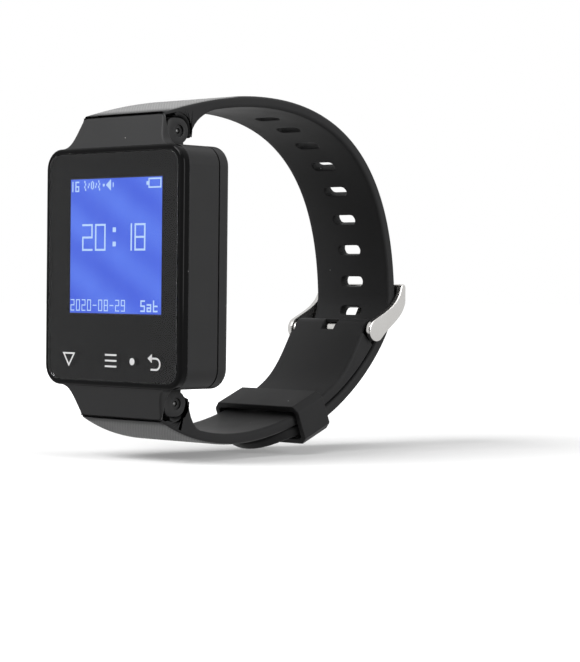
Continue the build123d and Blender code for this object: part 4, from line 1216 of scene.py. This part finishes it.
inner_free = outer_long + left_normal(outer_long) * strap_thick
blend_index = int(np.searchsorted(s_all, blend_s))
direction = outer_long[blend_index + 1] - outer_long[blend_index]
root = evenly(
    root_inner(inner_free[blend_index], direction / np.linalg.norm(direction), 1), 4001 - blend_index
)
inner_long = np.concatenate([inner_free[:blend_index], root])
hole_spots = [bar_s + hole_pitch * k for k in range(10)]
below = [1 - hole_pitch * k / lower_length for k in (1, 2, 3)]
hole_spots += [float(np.interp(b, u, marks_at[: len(tail_out)])) for b in below]
long_sheet = sheet(
    outer_long, inner_long, holes=sorted(hole_spots), tip=8.5, zone=(total - check_zone, total - 0.4)
)
shells, values = joined([long_sheet, (knuckle(1), None)])
long_strap = piece("long_strap", shells, None, rubber, replaces=["strap_long"], values=values)
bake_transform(long_strap)

# %% Short strap
swell_length, short_blend, window_half, window_depth = 17.0, 11.41, 1.95, 1.65
share = np.clip(1 - lower_length * np.linspace(1, 0, len(lower_line)) / swell_length, 0, 1)
swell = strap_thick + (2 * knuckle_r - strap_thick) * share**2 * (3 - 2 * share)
inner_free = lower_line + left_normal(lower_line) * swell[:, None]
blend_index = int(2000 * short_blend / lower_length)
direction = lower_line[blend_index - 1] - lower_line[blend_index]
root = evenly(
    root_inner(inner_free[blend_index], direction / np.linalg.norm(direction), -1), blend_index + 1
)
inner_short = np.concatenate([root[::-1], inner_free[blend_index + 1:]])
short_sheet = sheet(
    lower_line, inner_short, cut=(window_half, lower_length - window_depth),
    narrow=lower_length - 2.4, zone=(0.4, check_zone),
)
eye_shells = []
for side in (-1, 1):
    low, high = sorted((side * (window_half - 0.05), side * strap_end_half))
    edge_rows = ((0.0, bar_bore_r), (0.0, knuckle_r - 0.25), (0.07, knuckle_r - 0.07), (0.25, knuckle_r))
    stations = [(low + step, r) for step, r in edge_rows]
    stations += [(high - step, r) for step, r in edge_rows[::-1]]
    rows = [np.c_[np.full(48, x), circle(buckle_center, r, 48)] for x, r in stations]
    eye_shells.append((loft(np.array(rows), ring=True), None))
bridge_in_r = 1.68
bridge_x = (-window_half, -window_half, window_half, window_half)
bridge_r = (bridge_in_r, knuckle_r, knuckle_r, bridge_in_r)
bridge = np.array([
    np.c_[bridge_x, np.outer(bridge_r, (cos(angle), sin(angle))) + buckle_center]
    for angle in np.radians(np.linspace(25, 112, 14))
])
eye_shells.append((loft(bridge), None))
shells, values = joined([short_sheet, (knuckle(-1), None)] + eye_shells)
piece("short_strap", shells, "lower_strap", rubber, replaces=["strap_short"], values=values)

# %% [markdown]
# ## Keeper
# The loop is an octagonal ring with flat bevels at its corners. Its outer and
# inner outlines have the same number of points, so a profile runs from one to
# the other: front edge, outside, back edge, inside.


# %% Keeper
def line_at(points, u):
    """Point and direction at a share of a line's length."""
    index = u * (len(points) - 1)
    spot = np.array([np.interp(index, np.arange(len(points)), points[:, k]) for k in (0, 1)])
    ahead = points[min(int(index) + 2, len(points) - 1)] - points[max(int(index) - 2, 0)]
    return spot, ahead / np.linalg.norm(ahead)


keeper_u = 1 - keeper_reach / lower_length
keeper_spot, keeper_way = line_at(lower_line, keeper_u)
keeper_in = np.array([-keeper_way[1], keeper_way[0]])
keeper_half, keeper_wall, keeper_inner, keeper_outer = 11.95, 1.2, 3.1, 2.85


def soft_corner(first, corner, last, steps=4):
    """Quadratic curve: three points weighted by (1-t)^2, 2t(1-t) and t^2."""
    t = np.linspace(0, 1, steps)
    return np.outer((1 - t) ** 2, first) + np.outer(2 * t * (1 - t), corner) + np.outer(t**2, last)


def octagon(half_w, low, high, bevel, rounding=0.18):
    """Rectangle with cut corners; each of its eight corners is slightly rounded."""
    raw = np.array([
        (half_w, low + bevel), (half_w, high - bevel), (half_w - bevel, high), (bevel - half_w, high),
        (-half_w, high - bevel), (-half_w, low + bevel), (bevel - half_w, low), (half_w - bevel, low),
    ])
    before, after = np.roll(raw, 1, 0) - raw, np.roll(raw, -1, 0) - raw
    before /= np.linalg.norm(before, axis=1)[:, None]
    after /= np.linalg.norm(after, axis=1)[:, None]
    return np.concatenate([
        soft_corner(corner + b * rounding, corner, corner + a * rounding)
        for corner, b, a in zip(raw, before, after)
    ])


def keeper_ring(along, inset=0.0, inside=False):
    """One loop of the keeper at a distance along the strap."""
    grow, bevel = (inset, 0.35) if inside else (keeper_wall - inset, 1.3)
    loop = octagon(
        keeper_half - keeper_wall + grow, -keeper_outer - grow, keeper_inner + grow, bevel
    )
    place = keeper_spot + along * keeper_way + np.outer(loop[:, 1], keeper_in)
    return np.c_[loop[:, 0], place]


keeper_end = keeper_length / 2
ring_rows = [
    keeper_ring(0.25 - keeper_end), keeper_ring(0.07 - keeper_end, 0.07), keeper_ring(-keeper_end, 0.25),
    keeper_ring(-keeper_end, 0.15, True), keeper_ring(0.15 - keeper_end, 0.0, True),
    keeper_ring(keeper_end - 0.15, 0.0, True), keeper_ring(keeper_end, 0.15, True),
    keeper_ring(keeper_end, 0.25), keeper_ring(keeper_end - 0.07, 0.07), keeper_ring(keeper_end - 0.25),
]
keeper_shell = loft(np.array(ring_rows), ring=True)
piece(
    "keeper", [keeper_shell], "keeper", rubber, replaces=["keeper_loop"],
    values={label: np.zeros(len(keeper_shell[0])) for label in ("along", "across", "zone")}, sharp=28,
)

# %% [markdown]
# ## Buckle
# Two flat arms swing on the bar and hold a cross bar over the long strap. An
# arm is its side outline carried across 1.2 mm with rounded edges. Bright
# bosses reach in towards the strap's end, and the tongue is bent strip.

# %% Arm outline
bar_inner_y, bar_outer_y = 59.4, 60.7
bar_top, bar_foot = -2.6, -6.2
arm_eye_r, arm_in_x, arm_out_x = 2.3, 10.7, 11.9
eye_top_angle, eye_foot_angle = buckle_heading + 62, buckle_heading - 98
eye_top = buckle_center + heading(eye_top_angle) * arm_eye_r
eye_foot = buckle_center + heading(eye_foot_angle) * arm_eye_r
arm_top, arm_foot = np.array([bar_inner_y, bar_top]), np.array([bar_outer_y, bar_foot])
reach = np.linalg.norm(arm_top - eye_top)
eye_angle = np.radians(np.linspace(eye_foot_angle, eye_top_angle - 360, 20))
eye_arc = buckle_center + arm_eye_r * np.c_[np.cos(eye_angle), np.sin(eye_angle)]
inner_edge = bezier(
    [eye_top, eye_top + heading(27) * reach * 0.4, arm_top - heading(80.6) * reach * 0.4, arm_top],
    np.linspace(0, 1, 20),
)
outer_edge = bezier(
    [arm_foot, arm_foot - heading(84.6) * reach * 0.3, eye_foot + heading(47) * reach * 0.3, eye_foot],
    np.linspace(0, 1, 20),
)
round_top = np.radians(np.linspace(80, 10, 6))
top_edge = (bar_outer_y - 0.8, bar_top - 0.9) + 0.8 * np.c_[np.cos(round_top), np.sin(round_top)] + (0, 0.1)
arm_outline = np.concatenate(
    [eye_arc, inner_edge[1:-1], [arm_top + (0.05, -0.25)], top_edge, outer_edge[:-1]]
)

# %% Frame and tongue
arm = loft(across_loops(arm_outline, soft_ends(arm_in_x, arm_out_x, 0.22)))


def boss_ring(x, radius):
    """Circle about the buckle's bar at x."""
    return np.c_[np.full(40, x), circle(buckle_center, radius, 40)]


boss_in_x, boss_out_x, boss_r, boss_bore_r = 10.1, 11.0, 1.7, 0.55
boss = loft(
    np.array([
        boss_ring(boss_out_x, boss_bore_r), boss_ring(boss_in_x, boss_bore_r),
        boss_ring(boss_in_x, boss_r - 0.2), boss_ring(boss_in_x + 0.06, boss_r - 0.06),
        boss_ring(boss_in_x + 0.2, boss_r), boss_ring(boss_out_x, boss_r),
    ]),
    ring=True,
)
bar_outline = rounded_rect(0.65, 1.8, 0.45) + ((bar_inner_y + bar_outer_y) / 2, (bar_top + bar_foot) / 2)
cross_bar = loft(across_loops(bar_outline, [(-arm_in_x - 0.1, 0.0), (arm_in_x + 0.1, 0.0)]))
piece(
    "buckle_frame_bright", [arm, mirrored(arm, 0), boss, mirrored(boss, 0), cross_bar],
    "buckle", polished_steel, replaces=["buckle_frame"],
)

tongue_thick = 1.2
neck_end = buckle_center + buckle_out * (knuckle_r + gap + strap_thick + 0.35 + tongue_thick / 2)
tongue_y = bar_outer_y + 0.05 + tongue_thick / 2
tongue_tip_z = bar_foot + (bar_top - bar_foot) * 0.85
corners = np.array([
    buckle_center + buckle_out * 0.95, neck_end,
    (tongue_y, bar_foot - tongue_thick / 2), (tongue_y, tongue_tip_z),
])


def rounded_path(points, radius):
    """Straight runs joined by smooth bends: each corner becomes a short quadratic curve."""
    path = [points[0]]
    for before, corner, after in zip(points[:-2], points[1:-1], points[2:]):
        first = corner + (before - corner) / np.linalg.norm(before - corner) * radius
        last = corner + (after - corner) / np.linalg.norm(after - corner) * radius
        path += list(soft_corner(first, corner, last, steps=8))
    return np.array(path + [points[-1]])


tongue_path = evenly(rounded_path(corners, 0.9), 60)
tongue_normal = left_normal(tongue_path)
tongue_half = 1.3
section = rounded_rect(tongue_half, tongue_thick / 2, 0.3, steps=5)
tongue_rows = []
for index, (spot, normal) in enumerate(zip(tongue_path, tongue_normal)):
    end = min(1.0, (len(tongue_path) - 1 - index) / 5)
    scale = 0.55 + 0.45 * np.sqrt(1 - (1 - end) ** 2)
    place = spot + np.outer(section[:, 1] * (0.7 + 0.3 * end), normal)
    tongue_rows.append(np.c_[section[:, 0] * scale, place])
eye_rows = [
    np.c_[np.full(40, x), circle(buckle_center, r, 40)]
    for x, r in (
        (-tongue_half, bar_bore_r), (-tongue_half, 1.35), (0.15 - tongue_half, 1.5),
        (tongue_half - 0.15, 1.5), (tongue_half, 1.35), (tongue_half, bar_bore_r),
    )
]
piece(
    "buckle_tongue_bright", [loft(np.array(tongue_rows)), loft(np.array(eye_rows), ring=True)],
    "tongue", polished_steel, replaces=["buckle_tongue"],
)

# %% [markdown]
# ## Inside the case
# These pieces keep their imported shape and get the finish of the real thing:
# solder mask with tracks, printed foil, foam with cells, clear acrylic.


# %% Finishes for the inner pieces
def celled(name, dark, light, rough, cell, depth, **constants):
    """Surface of small cells: foam, solder mask over tracks or drawn foil."""
    material, tree, shader = blank(name, **constants)
    pattern = use(tree, cells_group, {"Cell mm": cell})
    skin = use(tree, grain_group, {"Grain mm": 0.1, "Patch mm": 3.0})
    color = mix_color(tree, pattern["Shade"], dark, light)
    tree.links.new(color, shader.inputs["Base Color"])
    tree.links.new(spread(tree, skin["Patches"], *rough), shader.inputs["Roughness"])
    bump = node(tree, "Bump", {"Height": pattern["Edge"], "Distance": depth * mm, "Strength": 1.0})
    tree.links.new(bump.outputs[0], shader.inputs["Normal"])
    return material


def tracked_board(name):
    """Green solder mask: bricks of the size of tracks show as lighter copper below it."""
    material, tree, shader = blank(name, Coat_Weight=0.4)
    place = node(tree, "SeparateXYZ", {0: per_mm(tree, 1.0)})
    flat = node(tree, "CombineXYZ", {0: place.outputs[0], 1: place.outputs[2]}).outputs[0]
    bricks = node(
        tree, "TexBrick",
        {"Vector": flat, "Scale": 0.5, "Mortar Size": 0.03, "Brick Width": 1.6, "Row Height": 0.35},
    )
    skin = use(tree, grain_group, {"Grain mm": 0.15, "Patch mm": 4.0})
    color = mix_color(tree, skin["Patches"], (0.004, 0.045, 0.016), (0.008, 0.075, 0.028))
    color = mix_color(tree, bricks.outputs["Fac"], color, (0.03, 0.16, 0.05))
    tree.links.new(color, shader.inputs["Base Color"])
    tree.links.new(spread(tree, skin["Patches"], 0.25, 0.4), shader.inputs["Roughness"])
    bump = node(tree, "Bump", {"Height": bricks.outputs["Fac"], "Distance": 0.02 * mm, "Strength": 1.0})
    tree.links.new(bump.outputs[0], shader.inputs["Normal"])
    return material


def coiled(name):
    """Fine closed spring: round turns as a wave along X; the darker colour between turns is painted shade.
    """
    material, tree, shader = blank(name, Metallic=1.0)
    place = node(tree, "SeparateXYZ", {0: node(tree, "TexCoord").outputs["Object"]})
    turns = math(tree, "SINE", math(tree, "MULTIPLY", place.outputs[0], 2 * pi / (0.25 * mm)))
    turns = math(tree, "MULTIPLY", math(tree, "ADD", turns, 1.0), 0.5)
    # Dark colour in the grooves between turns is painted shade
    color = mix_color(tree, turns, (0.18, 0.18, 0.19), (0.62, 0.62, 0.63))
    tree.links.new(color, shader.inputs["Base Color"])
    tree.links.new(spread(tree, turns, 0.5, 0.25), shader.inputs["Roughness"])
    bump = node(tree, "Bump", {"Height": turns, "Distance": 0.12 * mm, "Strength": 1.0})
    tree.links.new(bump.outputs[0], shader.inputs["Normal"])
    return material


inner_finish = {
    "board_green": tracked_board("board_green"),
    "spring_coil": coiled("spring_coil"),
    "pouch_foil": celled(
        "pouch_foil", (0.50, 0.51, 0.53), (0.60, 0.61, 0.63), (0.3, 0.5), 1.2, 0.03, Metallic=0.8
    ),
    "black_foam": celled("black_foam", (0.012, 0.012, 0.013), (0.03, 0.03, 0.032), (0.8, 0.95), 0.35, 0.1),
    "adhesive": celled("adhesive", (0.55, 0.53, 0.48), (0.66, 0.64, 0.58), (0.35, 0.5), 0.8, 0.01),
    "flex_amber": celled("flex_amber", (0.36, 0.17, 0.03), (0.48, 0.25, 0.06), (0.3, 0.45), 0.5, 0.006),
    "chip_epoxy": moulded("chip_epoxy", (0.012, 0.012, 0.013), (0.02, 0.02, 0.022), (0.45, 0.6), grain=0.05),
    "lead_red": moulded("lead_red", (0.42, 0.02, 0.015), (0.55, 0.035, 0.025), (0.35, 0.5), wear_and_highlight=0.0),
    "white_nylon": moulded("white_nylon", (0.68, 0.66, 0.60), (0.76, 0.74, 0.69), (0.4, 0.55)),
    "clear_guide": moulded(
        "clear_guide", (0.72, 0.78, 0.82), (0.84, 0.88, 0.9), (0.1, 0.2), depth=0.001, wear_and_highlight=0.1
    ),
    "lcd_glass": moulded(
        "lcd_glass", (0.03, 0.035, 0.05), (0.05, 0.055, 0.075), (0.06, 0.14), depth=0.001, wear_and_highlight=0.1
    ),
    "guide_white": moulded("guide_white", (0.74, 0.76, 0.78), (0.86, 0.87, 0.88), (0.3, 0.45), grain=0.3),
    "cradle_rubber": moulded("cradle_rubber", (0.02, 0.02, 0.02), (0.03, 0.03, 0.03), (0.6, 0.8)),
}

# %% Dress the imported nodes
finishes = {
    "lens_tape": inner_finish["adhesive"], "touch_sensor": inner_finish["flex_amber"],
    "status_lamp": inner_finish["clear_guide"], "light_pipe": inner_finish["clear_guide"],
    "lcd_cell": inner_finish["lcd_glass"], "lcd_backlight": inner_finish["guide_white"],
    "lcd_tray": inner_black, "lcd_flex": inner_finish["flex_amber"],
    "main_board": inner_finish["board_green"], "radio_module": can_steel,
    "controller_chip": inner_finish["chip_epoxy"], "clock_crystal": can_steel,
    "battery_connector": inner_finish["white_nylon"], "antenna_strip": contact_gold,
    "battery_cell": inner_finish["pouch_foil"], "battery_tape": inner_finish["adhesive"],
    "battery_foam": inner_finish["black_foam"], "battery_leads": inner_finish["lead_red"],
    "motor_cradle": inner_finish["cradle_rubber"], "motor_weight": magnet_nickel,
    "sounder": inner_finish["chip_epoxy"], "case_gasket": gasket_rubber, "case_screws": bar_steel,
    "upper_bar_spring": inner_finish["spring_coil"], "lower_bar_spring": inner_finish["spring_coil"],
    "buckle_bar_spring": inner_finish["spring_coil"],
}
for name, material in finishes.items():
    packed = frame["nodes"][name]
    packed.data.materials.clear()
    packed.data.materials.append(material)
print("dressed", len(finishes), "packed nodes")

# %% [markdown]
# ## Floor
# A pale floor catches the soft shadow. It shows white in reflections, and it
# glows more with distance from the pager, so that its edge fades into the
# white world and it is darker only round the pager.

# %% Floor
lowest = cad_bounds[0][2]
floor_mesh = bpy.data.meshes.new("floor")
floor_corners = [(x, y, lowest) for x, y in ((-3, -3), (3, -3), (3, 6), (-3, 6))]
floor_mesh.from_pydata(floor_corners, [], [(0, 1, 2, 3)])
floor = bpy.data.objects.new("floor", floor_mesh)
scene.collection.objects.link(floor)
floor_material = bpy.data.materials.new("floor_paper")
floor_material.use_nodes = True
tree = floor_material.node_tree
shader = tree.nodes["Principled BSDF"]
shader.inputs["Roughness"].default_value = 0.9
shader.inputs["Specular IOR Level"].default_value = 0.0
path = node(tree, "LightPath")
mirrored_ray = math(tree, "MAXIMUM", path.outputs["Is Glossy Ray"], path.outputs["Is Transmission Ray"])
paper = mix_color(tree, path.outputs["Is Diffuse Ray"], (0.68, 0.68, 0.68), (0.32, 0.32, 0.32))
tree.links.new(mix_color(tree, mirrored_ray, paper, (0.0, 0.0, 0.0)), shader.inputs["Base Color"])
spot = node(
    tree, "VectorMath", {0: node(tree, "TexCoord").outputs["Object"], 1: (0.0, 0.03, lowest)},
    operation="DISTANCE",
)
far = node(
    tree, "MapRange",
    {"Value": spot.outputs["Value"], "From Min": 0.05, "From Max": 0.28, "To Min": 0.24, "To Max": 1.0},
    interpolation_type="SMOOTHSTEP",
).outputs[0]
glow = math(tree, "MULTIPLY", path.outputs["Is Camera Ray"], far)
tree.links.new(math(tree, "MAXIMUM", glow, mirrored_ray), shader.inputs["Emission Strength"])
shader.inputs["Emission Color"].default_value = (1.0, 1.0, 1.0, 1.0)
floor_mesh.materials.append(floor_material)
